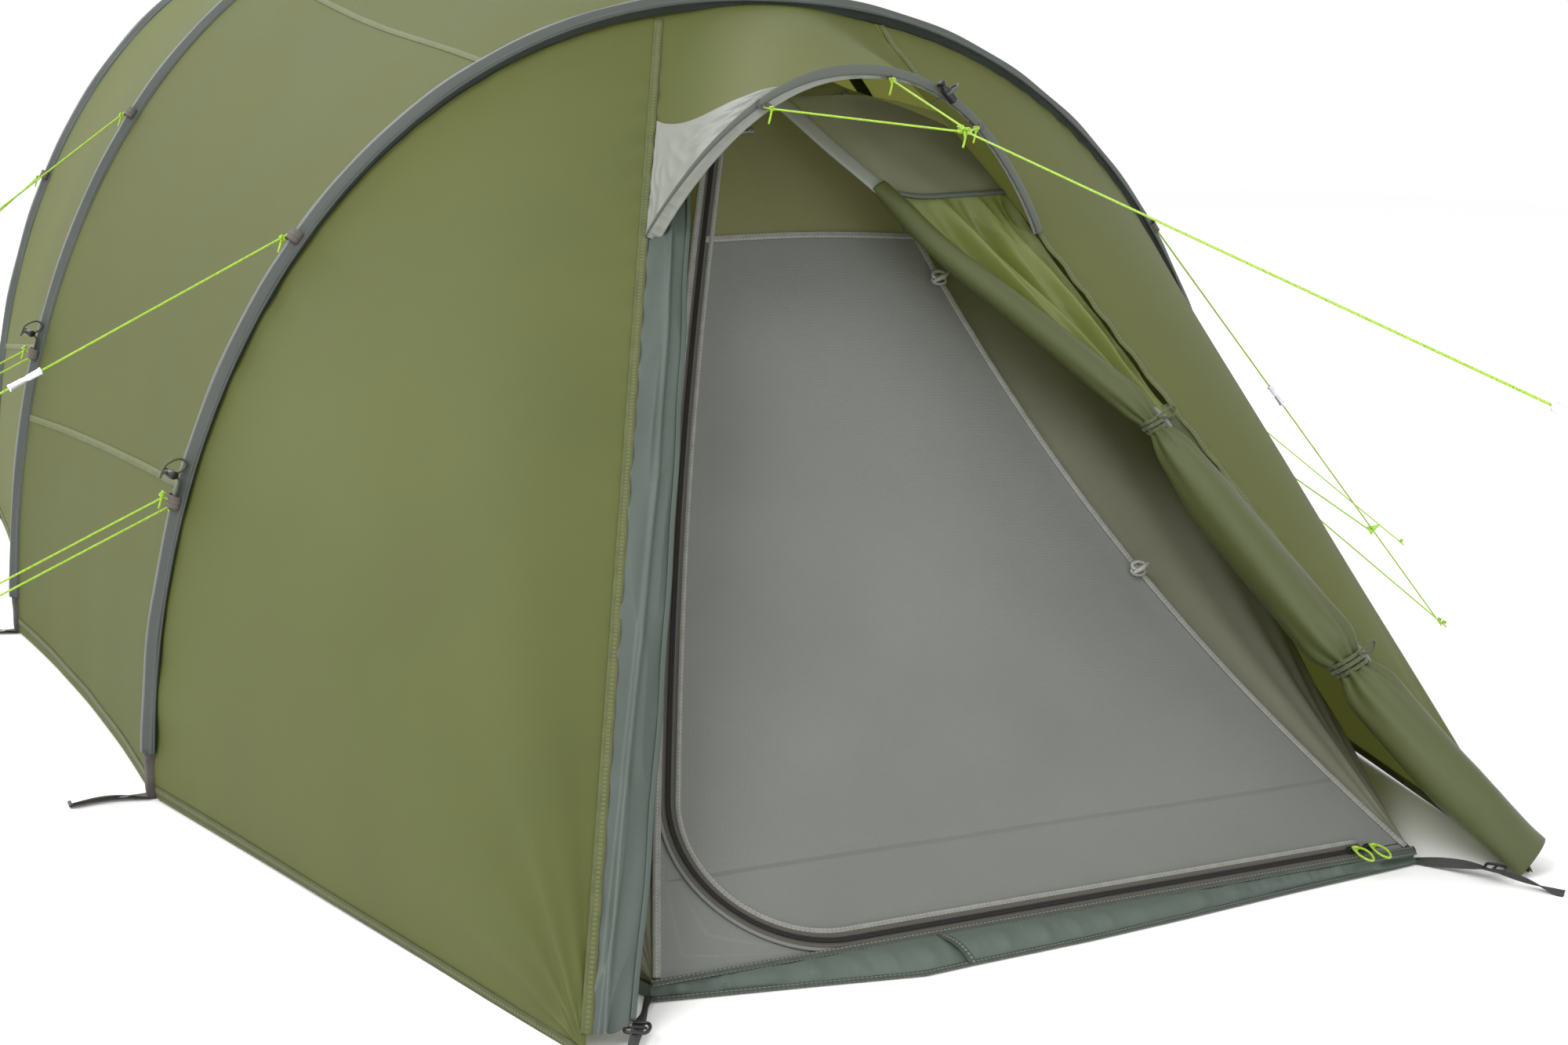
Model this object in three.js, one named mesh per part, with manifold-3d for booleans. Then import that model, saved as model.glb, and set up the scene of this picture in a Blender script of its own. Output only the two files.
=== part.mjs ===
// A three-hoop tunnel tent with a sloping nose at its sleeping end, a rolled-up outer door in the nose,
// a hanging inner tent with a D-shaped door behind it, and the guy lines that hold the tunnel up.
//
// Millimetres, +Z up. While the tent is drawn, y = 0 is the plane of the front hoop, -Y points out of the
// nose and x = 0 is the plane of symmetry. The finished group is moved so that the origin is the middle of
// the base.

import * as THREE from 'three';
import { mergeVertices } from 'three/addons/utils/BufferGeometryUtils.js';
import Module from 'manifold-3d';

const wasm = await Module();
wasm.setup();

// ---------------------------------------------------------------- driving dimensions

const HOOPS = {
  front: { y: 0, width: 1700, height: 1020 },
  middle: { y: 920, width: 1820, height: 1220 },
  rear: { y: 1900, width: 1680, height: 1220 },
};
const HOOP_SIDE_POWER = 2.2; // superellipse powers of every hoop: 2 and 2 would be an ellipse
const HOOP_TOP_POWER = 2.1;

const NOSE = { length: 910, halfWidth: 603, seamHalfGap: 150 };
const TAIL = { length: 750, halfWidth: 560, seamHalfGap: 150, hemShare: 0.985 };
const CORNER_TRIM = 0.05; // share of an end panel that its pegged corner leaves off

const FABRIC = 2; // thickness of every single-layer panel
const SEAM_GAP = 0.8; // clear gap between two panels that are sewn to each other
const FIT_GAP = 0.4; // clear gap between a hard part and what it touches
const SLEEVE_GAP = 1.6; // clear gap between a pole sleeve and the panels beside it
const BAY_SAG = 14; // how far the taut fabric draws in halfway between two hoops
const HEM_HEIGHT = 3; // lower edge of the flysheet above the ground

const POLE_DIAMETER = 9;
const POLE_FOOT = 6; // end of each pole above the ground
const HOOP_STEPS = 30;
const SLEEVE = { width: 28, depth: 24, clearance: 3.6, foot: 62 };
const POCKET = { width: 24, depth: 17, clearance: 3, height: 58, floor: 3 };
const PEG_LOOP = { length: 95, width: 20, thickness: 2.5 };

const BAY_SIDE_TOP = 0.95; // where a side panel meets the roof panel, as an arch angle

const BRIM = { share: 0.285, reach: 285, rise: 202, sidePower: 0.91, topPower: 1.9 };
const BAND = { height: 26, thickness: 3, gap: 1.2, trim: 0.03 };
const HOOD_TRIM = 0.01; // share of the hood left open at each seam
const STORM_FLAP = { width: 55, offset: 3, thickness: 2, start: 0.035, end: 0.95 };

const INNER = {
  frontHalfWidth: 495,
  frontGap: 95, // from the nose corners of the flysheet back to the foot of the front wall
  topHalfWidth: 100,
  topSetback: 40,
  sideInset: 70,
  topInset: 115,
  wallSag: 75,
  rearY: 1400,
  sideTop: 1.0, // where a side wall meets the inner roof, as an arch angle
  seamInset: 8,
  cornerTrim: 0.06,
};
const TUB = { height: 16, wall: 3, floor: 3 };

const DOOR = { sideMargin: 16, bottomMargin: 10, topMargin: 70, hingeMargin: 26, cornerRadius: 150 };
const ZIP = { tapeWidth: 7, tapeThickness: 1.4, lift: 0.4, hingeStop: 30 };
const SLIDER = { length: 16, width: 9, height: 6, spacing: 26, fromCorner: 60 };
const PULL = { length: 34, width: 16, cord: 2.6, lift: 1.2, tilt: 0.45 };

// The rolled door starts at free points of the doorway and then follows its right seam. Shares are along
// the seam.
const ROLL = { topRadius: 15, middleRadius: 32, footRadius: 26, tubeSides: 12, fullAt: 0.6, footFrom: 0.75 };
const ROLL_START = [{ x: 75, share: 0.24 }, { x: 200, share: 0.38 }];
const ROLL_INSETS = [{ inset: 56, share: 0.52 }, { inset: 44, share: 0.76 }, { inset: 30, share: 0.95 }];
const VENT = {
  top: [{ x: -58, share: 0.154 }, { x: 212, share: 0.187 }],
  low: [{ x: 60, share: 0.215 }, { x: 236, share: 0.262 }],
  lift: 15, // of its upper edge over the doorway's plane
};
const TIE_SHARES = [0.47, 0.76]; // where the ties go round the roll, along its length
const PINCH = { depth: 0.35, reach: 0.05 }; // how a tie draws the roll in
const TIE = { radius: 3.5, slack: 6, toggleLength: 26, toggleDiameter: 9 };

const GUY_DIAMETER = 2.6;
const LOOP_RADIUS = 7; // of a lower guy's turn round its ring
const UPPER_TIE_Z = { front: 705, middle: 840, rear: 700 };
const LOWER_TIE_Z = { front: 380, middle: 458 };
const PEG_LEVEL = 4; // height of a line's end where its peg would hold it
const BRIDLE = { left: 0.348, centre: 0.53, right: 0.692 }; // shares of the brim where its legs are tied
const GUY_POINTS = {
  leftFront: vector(-1062, 0, 497),
  leftFrontLower: [vector(-1062, 0, 274), vector(-1062, 0, 259)],
  leftMiddle: vector(-930, 920, 672),
  leftMiddleLower: [vector(-945, 920, 431), vector(-945, 920, 416)],
  leftRear: vector(-835, 1900, 606),
  rightFront: vector(1366, 66, PEG_LEVEL),
  rightFrontLower: vector(1366, 54, PEG_LEVEL),
  rightMiddle: vector(1780, 620, PEG_LEVEL),
  noseKnot: vector(0, -537, 859),
  nose: vector(0, -1560, 648),
};
const RUNNER = { length: 44, clearance: 1, diameter: 9 };
const RUNNER_SHARES = { left: 0.79, right: 0.39, nose: 0.912 }; // of the line, from its near end
const PLATE = { size: 26, thickness: 3, share: 0.732 };
const STRAP = { width: 13, thickness: 2, length: 175, splay: 0.58 };

// Points deep inside the canopy and the cabin, which tell the inner side of a panel from the outer one.
const CANOPY_MIDDLE = vector(0, 900, 350);
const CABIN_MIDDLE = vector(0, 600, 300);

// ---------------------------------------------------------------- finishes

function finish(color, roughness, metalness = 0) {
  return new THREE.MeshStandardMaterial({ color, roughness, metalness });
}

const OLIVE = [0x7c8456, 0.72];
const GREY_FABRIC = [0x86898a, 0.75];
const DARK_FABRIC = [0x4d5450, 0.7];
const WEBBING = [0x6e675f, 0.85];
const TUB_GREEN = [0x4c574d, 0.6];
const FLAP_GREY = [0x5d675e, 0.5];
const LIME = [0xb9e11c, 0.6];
const MESH_OLIVE = [0x60614a, 0.8];
const ALUMINIUM = [0xb8bcc2, 0.35, 0.9];
const SILVER = [0xdfe0e6, 0.35];

// ---------------------------------------------------------------- making bodies

const tent = new THREE.Group();
const bodies = new Map();
const cordNames = new Set();

function vector(x, y, z) {
  return new THREE.Vector3(x, y, z);
}

function signedVolume(geometry) {
  const position = geometry.attributes.position;
  const [a, b, c] = [vector(), vector(), vector()];
  let volume = 0;
  for (let i = 0; i < geometry.index.count; i += 3) {
    a.fromBufferAttribute(position, geometry.index.getX(i));
    b.fromBufferAttribute(position, geometry.index.getX(i + 1));
    c.fromBufferAttribute(position, geometry.index.getX(i + 2));
    volume += a.dot(b.cross(c)) / 6;
  }
  return volume;
}

// Keeps only the positions, merges shared corners and turns the faces outwards.
function solid(geometry) {
  const bare = new THREE.BufferGeometry();
  bare.setAttribute('position', geometry.attributes.position.clone());
  if (geometry.index) bare.setIndex(Array.from(geometry.index.array));
  const merged = mergeVertices(bare, 1e-3);
  if (signedVolume(merged) < 0) {
    const index = merged.index.array;
    for (let i = 0; i < index.length; i += 3) {
      [index[i], index[i + 1]] = [index[i + 1], index[i]];
    }
  }
  return merged;
}

function toManifold(geometry) {
  const vertProperties = new Float32Array(geometry.attributes.position.array);
  const triVerts = new Uint32Array(geometry.index.array);
  return new wasm.Manifold(new wasm.Mesh({ numProp: 3, vertProperties, triVerts }));
}

function fromManifold(manifold) {
  const mesh = manifold.getMesh();
  const geometry = new THREE.BufferGeometry();
  geometry.setAttribute('position', new THREE.BufferAttribute(new Float32Array(mesh.vertProperties), 3));
  geometry.setIndex(Array.from(mesh.triVerts));
  return solid(geometry);
}

function join(...geometries) {
  return fromManifold(geometries.map(toManifold).reduce((whole, next) => whole.add(next)));
}

function cut(geometry, ...tools) {
  return fromManifold(tools.map(toManifold).reduce((rest, tool) => rest.subtract(tool), toManifold(geometry)));
}

function common(geometry, tool) {
  return fromManifold(toManifold(geometry).intersect(toManifold(tool)));
}

function add(name, geometry, look) {
  const mesh = new THREE.Mesh(solid(geometry), finish(...look));
  mesh.name = name;
  tent.add(mesh);
  bodies.set(name, mesh);
  return mesh;
}

// A closed skin over a grid of points: rows of rings, each ring closed on itself, with flat ends.
function ringBody(rings) {
  const count = rings[0].length;
  const positions = rings.flat().flatMap((point) => point.toArray());
  const index = [];
  for (let row = 0; row + 1 < rings.length; row += 1) {
    for (let i = 0; i < count; i += 1) {
      const next = (i + 1) % count;
      const [a, b] = [row * count + i, row * count + next];
      index.push(a, b, b + count, a, b + count, a + count);
    }
  }
  const last = (rings.length - 1) * count;
  for (let i = 1; i + 1 < count; i += 1) {
    index.push(0, i + 1, i, last, last + i, last + i + 1);
  }
  const geometry = new THREE.BufferGeometry();
  geometry.setAttribute('position', new THREE.Float32BufferAttribute(positions, 3));
  geometry.setIndex(index);
  return solid(geometry);
}

// A panel of even thickness. surface(u, v) gives its outer face for u and v from 0 to 1, and the thickness goes
// to the side that faces the inside point.
function panel(surface, across, along, inside, thickness = FABRIC) {
  const outer = [];
  const inner = [];
  const step = 1e-3;
  for (let j = 0; j <= along; j += 1) {
    for (let i = 0; i <= across; i += 1) {
      const [u, v] = [i / across, j / along];
      const point = surface(u, v);
      const [u0, u1] = [Math.max(u - step, 0), Math.min(u + step, 1)];
      const [v0, v1] = [Math.max(v - step, 0), Math.min(v + step, 1)];
      const du = surface(u1, v).sub(surface(u0, v));
      const dv = surface(u, v1).sub(surface(u, v0));
      const normal = du.cross(dv).normalize();
      if (normal.dot(inside.clone().sub(point)) < 0) normal.negate();
      outer.push(point);
      inner.push(point.clone().addScaledVector(normal, thickness));
    }
  }
  const columns = across + 1;
  const half = outer.length;
  const index = [];
  const quad = (a, b, c, d) => index.push(a, b, c, a, c, d);
  for (let j = 0; j < along; j += 1) {
    for (let i = 0; i < across; i += 1) {
      const a = j * columns + i;
      quad(a, a + 1, a + columns + 1, a + columns);
      quad(half + a, half + a + columns, half + a + columns + 1, half + a + 1);
    }
  }
  for (let i = 0; i < across; i += 1) {
    const top = along * columns + i;
    quad(i, half + i, half + i + 1, i + 1);
    quad(top, top + 1, half + top + 1, half + top);
  }
  for (let j = 0; j < along; j += 1) {
    const left = j * columns;
    const right = left + across;
    quad(left, left + columns, half + left + columns, half + left);
    quad(right, half + right, half + right + columns, right + columns);
  }
  const positions = [...outer, ...inner].flatMap((point) => point.toArray());
  const geometry = new THREE.BufferGeometry();
  geometry.setAttribute('position', new THREE.Float32BufferAttribute(positions, 3));
  geometry.setIndex(index);
  return solid(geometry);
}

function box(x, y, z, centre) {
  const geometry = new THREE.BoxGeometry(x, y, z);
  geometry.translate(centre.x, centre.y, centre.z);
  return solid(geometry);
}

function polygon(radius, sides) {
  const points = [];
  for (let i = 0; i < sides; i += 1) {
    const angle = ((i + 0.5) / sides) * 2 * Math.PI;
    points.push(new THREE.Vector2(radius * Math.cos(angle), radius * Math.sin(angle)));
  }
  return points;
}

function sweep(shape, path, steps) {
  return solid(new THREE.ExtrudeGeometry(shape, { steps, extrudePath: path, curveSegments: 2 }));
}

// A line pulled straight between the points that it is led through.
class TautLine extends THREE.Curve {
  constructor(points, spacing) {
    super();
    this.stops = [points[0]];
    for (let i = 1; i < points.length; i += 1) {
      const parts = Math.max(1, Math.round(points[i].distanceTo(points[i - 1]) / spacing));
      for (let k = 1; k <= parts; k += 1) this.stops.push(mix(points[i - 1], points[i], k / parts));
    }
  }

  getPoint(share) {
    const place = share * (this.stops.length - 1);
    const index = Math.min(Math.floor(place), this.stops.length - 2);
    return mix(this.stops[index], this.stops[index + 1], place - index);
  }

  getPointAt(share) {
    return this.getPoint(share);
  }

  getTangentAt(share) {
    const reach = 0.5 / (this.stops.length - 1);
    const ahead = this.getPoint(Math.min(share + reach, 1));
    return ahead.sub(this.getPoint(Math.max(share - reach, 0))).normalize();
  }
}

function addCord(name, points) {
  const line = new TautLine(points, 60);
  const steps = line.stops.length - 1;
  const tube = sweep(new THREE.Shape(polygon(GUY_DIAMETER / 2, 8)), line, steps);
  cordNames.add(name);
  return add(name, tube, LIME);
}

// A tube of the given outer and inner diameters between two points.
function sleeveBetween(start, end, outer, bore, sides = 12) {
  const shape = new THREE.Shape(polygon(outer / 2, sides));
  shape.holes.push(new THREE.Path(polygon(bore / 2, 8)));
  return sweep(shape, new THREE.LineCurve3(start, end), 1);
}

const mirrored = (point, side) => vector(point.x * side, point.y, point.z);
const mix = (a, b, share) => a.clone().lerp(b, share);

// ---------------------------------------------------------------- hoops

// A point of an arch. The angle runs from 0 at the left foot to pi at the right foot.
function archPoint(width, height, y, angle) {
  const cosine = Math.cos(angle);
  const sine = Math.max(Math.sin(angle), 0);
  const x = (-width / 2) * Math.sign(cosine) * Math.abs(cosine) ** (2 / HOOP_SIDE_POWER);
  return vector(x, y, height * sine ** (2 / HOOP_TOP_POWER));
}

const hoopPoint = (hoop, angle) => archPoint(hoop.width, hoop.height, hoop.y, angle);
const angleAtHeight = (height, z) => Math.asin((z / height) ** (HOOP_TOP_POWER / 2));
const angleAtSide = (width, x) => Math.acos(((2 * x) / width) ** (HOOP_SIDE_POWER / 2));

class HoopCurve extends THREE.Curve {
  constructor(hoop, footHeight) {
    super();
    this.hoop = hoop;
    this.start = angleAtHeight(hoop.height, footHeight);
  }

  getPoint(share) {
    return hoopPoint(this.hoop, this.start + (Math.PI - 2 * this.start) * share);
  }
}

function sleeveSection() {
  const [w, d] = [SLEEVE.width / 2, SLEEVE.depth / 2];
  const shape = new THREE.Shape([
    new THREE.Vector2(-w, -d / 3),
    new THREE.Vector2(-w / 2, -d),
    new THREE.Vector2(w / 2, -d),
    new THREE.Vector2(w, -d / 3),
    new THREE.Vector2(w, d / 3),
    new THREE.Vector2(w / 2, d),
    new THREE.Vector2(-w / 2, d),
    new THREE.Vector2(-w, d / 3),
  ]);
  shape.holes.push(new THREE.Path(polygon((POLE_DIAMETER + SLEEVE.clearance) / 2, 8)));
  return shape;
}

function footWebbing(hoop, side) {
  const foot = hoopPoint(hoop, angleAtHeight(hoop.height, POLE_FOOT)).x * -side;
  const body = box(POCKET.depth, POCKET.width, POCKET.height, vector(foot, hoop.y, POCKET.height / 2));
  const wide = POLE_DIAMETER + POCKET.clearance;
  const bore = box(wide, wide, POCKET.height, vector(foot, hoop.y, POCKET.height / 2 + POCKET.floor));
  const reach = PEG_LOOP.length + POCKET.depth / 4;
  const middle = foot + side * (POCKET.depth / 4 + reach / 2);
  const loop = box(reach, PEG_LOOP.width, PEG_LOOP.thickness, vector(middle, hoop.y, PEG_LOOP.thickness / 2));
  return join(cut(body, bore), loop);
}

for (const [place, hoop] of Object.entries(HOOPS)) {
  const pole = new THREE.Shape(polygon(POLE_DIAMETER / 2, 8));
  add(`${place}_pole`, sweep(pole, new HoopCurve(hoop, POLE_FOOT), HOOP_STEPS), ALUMINIUM);
  const cover = sweep(sleeveSection(), new HoopCurve(hoop, SLEEVE.foot), HOOP_STEPS);
  add(`${place}_pole_sleeve`, cover, DARK_FABRIC);
  add(`${place}_left_foot_webbing`, footWebbing(hoop, -1), WEBBING);
  add(`${place}_right_foot_webbing`, footWebbing(hoop, 1), WEBBING);
}

// ---------------------------------------------------------------- flysheet bays between hoops

const sleeveEdge = SLEEVE.width / 2 + SLEEVE_GAP;

function bayPoint(near, far, angle, share) {
  const slack = BAY_SAG * 4 * share * (1 - share);
  const width = near.width + (far.width - near.width) * share - 2 * slack;
  const height = near.height + (far.height - near.height) * share - slack;
  const y = near.y + sleeveEdge + (far.y - near.y - 2 * sleeveEdge) * share;
  return archPoint(width, height, y, angle);
}

function bayPanel(near, far, from, to, across) {
  const surface = (u, v) => bayPoint(near, far, from + (to - from) * u, v);
  return panel(surface, across, 4, CANOPY_MIDDLE);
}

const BAYS = [['front_bay', HOOPS.front, HOOPS.middle], ['rear_bay', HOOPS.middle, HOOPS.rear]];

for (const [bay, near, far] of BAYS) {
  const lowest = Math.min(near.height, far.height) - BAY_SAG;
  const hem = angleAtHeight(lowest, HEM_HEIGHT);
  const seam = SEAM_GAP / far.width;
  const [left, right] = [BAY_SIDE_TOP, Math.PI - BAY_SIDE_TOP];
  add(`${bay}_left_panel`, bayPanel(near, far, hem, left - seam, 6), OLIVE);
  add(`${bay}_roof_panel`, bayPanel(near, far, left + seam, right - seam, 8), OLIVE);
  add(`${bay}_right_panel`, bayPanel(near, far, right + seam, Math.PI - hem, 6), OLIVE);
}

// ---------------------------------------------------------------- sloping ends

// The end of the tent is a cone of fabric on each side, from the hoop to one pegged corner. outward is -1
// at the nose and 1 at the tail.
function endCorner(end, hoop, outward, side) {
  return vector(side * end.halfWidth, hoop.y + outward * end.length, HEM_HEIGHT);
}

function endPanel(end, hoop, outward, side) {
  const corner = endCorner(end, hoop, outward, side);
  const low = angleAtHeight(hoop.height, HEM_HEIGHT);
  const high = angleAtSide(hoop.width, end.seamHalfGap + SEAM_GAP);
  const nearHoop = 1 - sleeveEdge / end.length;
  const surface = (u, v) => {
    const rim = mirrored(hoopPoint(hoop, low + (high - low) * u), -side);
    return mix(corner, rim, CORNER_TRIM + (nearHoop - CORNER_TRIM) * v);
  };
  return panel(surface, 10, 3, vector(0, hoop.y, 0));
}

add('nose_left_panel', endPanel(NOSE, HOOPS.front, -1, -1), OLIVE);
add('nose_right_panel', endPanel(NOSE, HOOPS.front, -1, 1), OLIVE);
add('tail_left_panel', endPanel(TAIL, HOOPS.rear, 1, -1), OLIVE);
add('tail_right_panel', endPanel(TAIL, HOOPS.rear, 1, 1), OLIVE);

// The seam along the top of a cone, from the hoop (share 0) to the pegged corner (share 1).
function seamPoint(end, hoop, outward, side, share) {
  const top = hoopPoint(hoop, angleAtSide(hoop.width, end.seamHalfGap));
  return mix(mirrored(top, -side), endCorner(end, hoop, outward, side), share);
}

// The closed end panel of the tail fills the space between the two seams.
function tailPanel() {
  const first = sleeveEdge / TAIL.length;
  const surface = (u, v) => {
    const share = first + (TAIL.hemShare - first) * v;
    const left = seamPoint(TAIL, HOOPS.rear, 1, -1, share);
    const right = seamPoint(TAIL, HOOPS.rear, 1, 1, share);
    const inset = SEAM_GAP / (right.x - left.x);
    const point = mix(left, right, inset + (1 - 2 * inset) * u);
    const crown = hoopPoint(HOOPS.rear, Math.PI / 2).z - seamPoint(TAIL, HOOPS.rear, 1, -1, 0).z;
    point.z += crown * (1 - share) * 4 * u * (1 - u);
    return point;
  };
  return panel(surface, 6, 4, vector(0, HOOPS.rear.y, 0));
}

add('tail_end_panel', tailPanel(), OLIVE);

// ---------------------------------------------------------------- hood, brim and storm flap

const noseSeam = (side, share) => seamPoint(NOSE, HOOPS.front, -1, side, share);
const BRIM_END = noseSeam(1, BRIM.share);

// The front edge of the hood, an arch from seam to seam. share runs from 0 at the left to 1 at the right.
function brimPoint(share, inset = 0) {
  const angle = Math.PI * (share - 0.5);
  const lift = Math.cos(angle) ** BRIM.topPower;
  const side = Math.sign(angle) * Math.abs(Math.sin(angle)) ** BRIM.sidePower;
  const x = (BRIM_END.x - inset) * side;
  const y = BRIM_END.y + (-BRIM.reach - BRIM_END.y) * lift;
  return vector(x, y, BRIM_END.z + (BRIM.rise - inset) * lift);
}

function hoodPanel() {
  const surface = (u, v) => {
    const across = HOOD_TRIM + (1 - 2 * HOOD_TRIM) * u;
    const from = angleAtSide(HOOPS.front.width, NOSE.seamHalfGap - SEAM_GAP);
    const start = hoopPoint(HOOPS.front, from + (Math.PI - 2 * from) * across);
    const rim = brimPoint(across);
    const first = sleeveEdge / Math.abs(rim.y);
    return mix(start, rim, first + (1 - first) * v);
  };
  return panel(surface, 12, 4, vector(0, 0, 0));
}

add('nose_hood_panel', hoodPanel(), OLIVE);

function brimBand() {
  const rings = [];
  const count = 16;
  for (let i = 0; i <= count; i += 1) {
    const share = BAND.trim + (1 - 2 * BAND.trim) * (i / count);
    const top = brimPoint(share, FABRIC + BAND.gap);
    top.y -= BAND.gap;
    const low = brimPoint(share, BAND.height);
    low.y -= BAND.gap;
    const back = vector(0, -BAND.thickness, 0);
    rings.push([top, low, low.clone().add(back), top.clone().add(back)]);
  }
  return ringBody(rings);
}

add('hood_brim', brimBand(), GREY_FABRIC);

function stormFlap() {
  const first = BRIM.share + STORM_FLAP.start;
  const surface = (u, v) => {
    const share = first + (STORM_FLAP.end - first) * v;
    const edge = noseSeam(-1, share);
    edge.x += STORM_FLAP.offset + STORM_FLAP.width * u;
    return edge;
  };
  return panel(surface, 2, 8, vector(0, 0, 0), STORM_FLAP.thickness);
}

add('nose_storm_flap', stormFlap(), FLAP_GREY);

// ---------------------------------------------------------------- outer door, rolled to the right

// A point of the doorway's plane: x as it is, share as along the seams.
function doorwayPoint(x, share) {
  const seam = noseSeam(1, share);
  return vector(x, seam.y, seam.z);
}

const rollPath = new THREE.CatmullRomCurve3([
  ...ROLL_START.map(({ x, share }) => doorwayPoint(x, share)),
  ...ROLL_INSETS.map(({ inset, share }) => doorwayPoint(noseSeam(1, share).x - inset, share)),
], false, 'centripetal');

function rollRadius(share) {
  const swell = Math.min(share / ROLL.fullAt, 1);
  const body = ROLL.topRadius + (ROLL.middleRadius - ROLL.topRadius) * swell;
  const nearFoot = Math.max(0, (share - ROLL.footFrom) / (1 - ROLL.footFrom));
  let radius = body + (ROLL.footRadius - body) * nearFoot;
  for (const tie of TIE_SHARES) {
    const away = Math.abs(share - tie) / PINCH.reach;
    if (away < 1) radius -= (1 - away) * radius * PINCH.depth;
  }
  return radius;
}

function rollBody() {
  const steps = 40;
  const frames = rollPath.computeFrenetFrames(steps, false);
  const rings = [];
  for (let i = 0; i <= steps; i += 1) {
    const share = i / steps;
    const centre = rollPath.getPointAt(share);
    const radius = rollRadius(share);
    const ring = [];
    for (let k = 0; k < ROLL.tubeSides; k += 1) {
      const angle = (k / ROLL.tubeSides) * 2 * Math.PI;
      const point = centre.clone();
      point.addScaledVector(frames.normals[i], radius * Math.cos(angle));
      point.addScaledVector(frames.binormals[i], radius * Math.sin(angle));
      point.z = Math.max(point.z, HEM_HEIGHT / 2);
      ring.push(point);
    }
    rings.push(ring);
  }
  return ringBody(rings);
}

add('outer_door_roll', rollBody(), OLIVE);

// The mesh vent at the top of the outer door hangs from the brim to the start of the roll.
function ventPanel() {
  const raised = vector(0, 0, VENT.lift);
  const [topLeft, topRight] = VENT.top.map(({ x, share }) => doorwayPoint(x, share).add(raised));
  const [lowLeft, lowRight] = VENT.low.map(({ x, share }) => doorwayPoint(x, share));
  const surface = (u, v) => mix(mix(topLeft, topRight, u), mix(lowLeft, lowRight, u), v);
  return panel(surface, 3, 3, vector(0, 0, 0), FABRIC);
}

add('outer_door_vent', ventPanel(), MESH_OLIVE);

function rollTie(share) {
  const middle = rollPath.getPointAt(share);
  const along = rollPath.getTangentAt(share);
  const radius = rollRadius(share) + TIE.radius + TIE.slack;
  const ring = new THREE.TorusGeometry(radius, TIE.radius, 6, 16);
  const turn = new THREE.Quaternion().setFromUnitVectors(vector(0, 0, 1), along);
  ring.applyQuaternion(turn);
  ring.translate(middle.x, middle.y, middle.z);
  const outward = vector(0, -1, 0.4).projectOnPlane(along).normalize();
  const thick = TIE.toggleDiameter / 2;
  const toggle = new THREE.CylinderGeometry(thick, thick, TIE.toggleLength, 10);
  toggle.applyQuaternion(new THREE.Quaternion().setFromUnitVectors(vector(0, 1, 0), along));
  const seat = middle.clone().addScaledVector(outward, radius + TIE.radius + TIE.toggleDiameter / 3);
  toggle.translate(seat.x, seat.y, seat.z);
  return join(solid(ring), solid(toggle));
}

add('upper_door_tie', rollTie(TIE_SHARES[0]), WEBBING);
add('lower_door_tie', rollTie(TIE_SHARES[1]), WEBBING);

// ---------------------------------------------------------------- inner tent

const innerFloor = TUB.height + SEAM_GAP;
const innerFront = INNER.frontGap - NOSE.length;
const wallStart = vector(0, innerFront, innerFloor);
const wallEnd = vector(0, -INNER.topSetback, HOOPS.front.height - INNER.topInset);
const chord = wallEnd.clone().sub(wallStart);
const chordLength = chord.length();
const chordUp = chord.clone().normalize();
const wallOut = vector(0, -chordUp.z, chordUp.y); // square to the chord, out of the tent

// The hanging front wall: straight across, sagging in a shallow curve from its foot to its top.
function wallPoint(x, share, lift = 0) {
  const drop = INNER.wallSag * 4 * share * (1 - share) - lift;
  return vector(x, 0, 0).add(mix(wallStart, wallEnd, share)).addScaledVector(wallOut, -drop);
}

const wallHalf = (share) => INNER.frontHalfWidth + (INNER.topHalfWidth - INNER.frontHalfWidth) * share;

function frontWallBody(lift, thickness, reach = 1) {
  const surface = (u, v) => wallPoint((2 * u - 1) * (wallHalf(v) + reach), v, lift);
  return panel(surface, 2, 14, wallPoint(0, 0.5, lift - 2000), thickness);
}

const PRISM = { depth: 400, behind: 250, past: 50, beyond: 300 }; // larger than the wall on every side

// An outline in the plane of the chord (x, distance up the chord) as a prism through the wall.
function chordPrism(points) {
  const shape = new THREE.Shape(points);
  const geometry = new THREE.ExtrudeGeometry(shape, { depth: PRISM.depth, bevelEnabled: false });
  geometry.translate(0, 0, -PRISM.behind);
  const frame = new THREE.Matrix4().makeBasis(vector(1, 0, 0), chordUp, vector(1, 0, 0).cross(chordUp));
  frame.setPosition(wallStart);
  geometry.applyMatrix4(frame);
  return solid(geometry);
}

// The door's outline: a straight side under the zip, one round lower corner, and a hinge side that follows the
// wall's right edge. grow moves every side outwards.
function doorOutline(grow = 0) {
  const slope = (INNER.frontHalfWidth - INNER.topHalfWidth) / chordLength;
  const low = DOOR.bottomMargin - grow;
  const high = chordLength - DOOR.topMargin + grow;
  const leftAt = (q) => -(INNER.frontHalfWidth - slope * q) + DOOR.sideMargin - grow;
  const rightAt = (q) => INNER.frontHalfWidth - slope * q - DOOR.hingeMargin + grow;
  const radius = DOOR.cornerRadius + grow;
  const tilt = Math.atan(slope);
  const centreX = leftAt(low + radius) + radius / Math.cos(tilt);
  const points = [];
  const turns = 8;
  for (let i = 0; i <= turns; i += 1) {
    const angle = Math.PI - tilt + (Math.PI / 2 + tilt) * (i / turns);
    points.push(new THREE.Vector2(centreX + radius * Math.cos(angle), low + radius + radius * Math.sin(angle)));
  }
  points.push(new THREE.Vector2(rightAt(low), low));
  points.push(new THREE.Vector2(rightAt(high), high));
  points.push(new THREE.Vector2(leftAt(high), high));
  return points;
}

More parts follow.
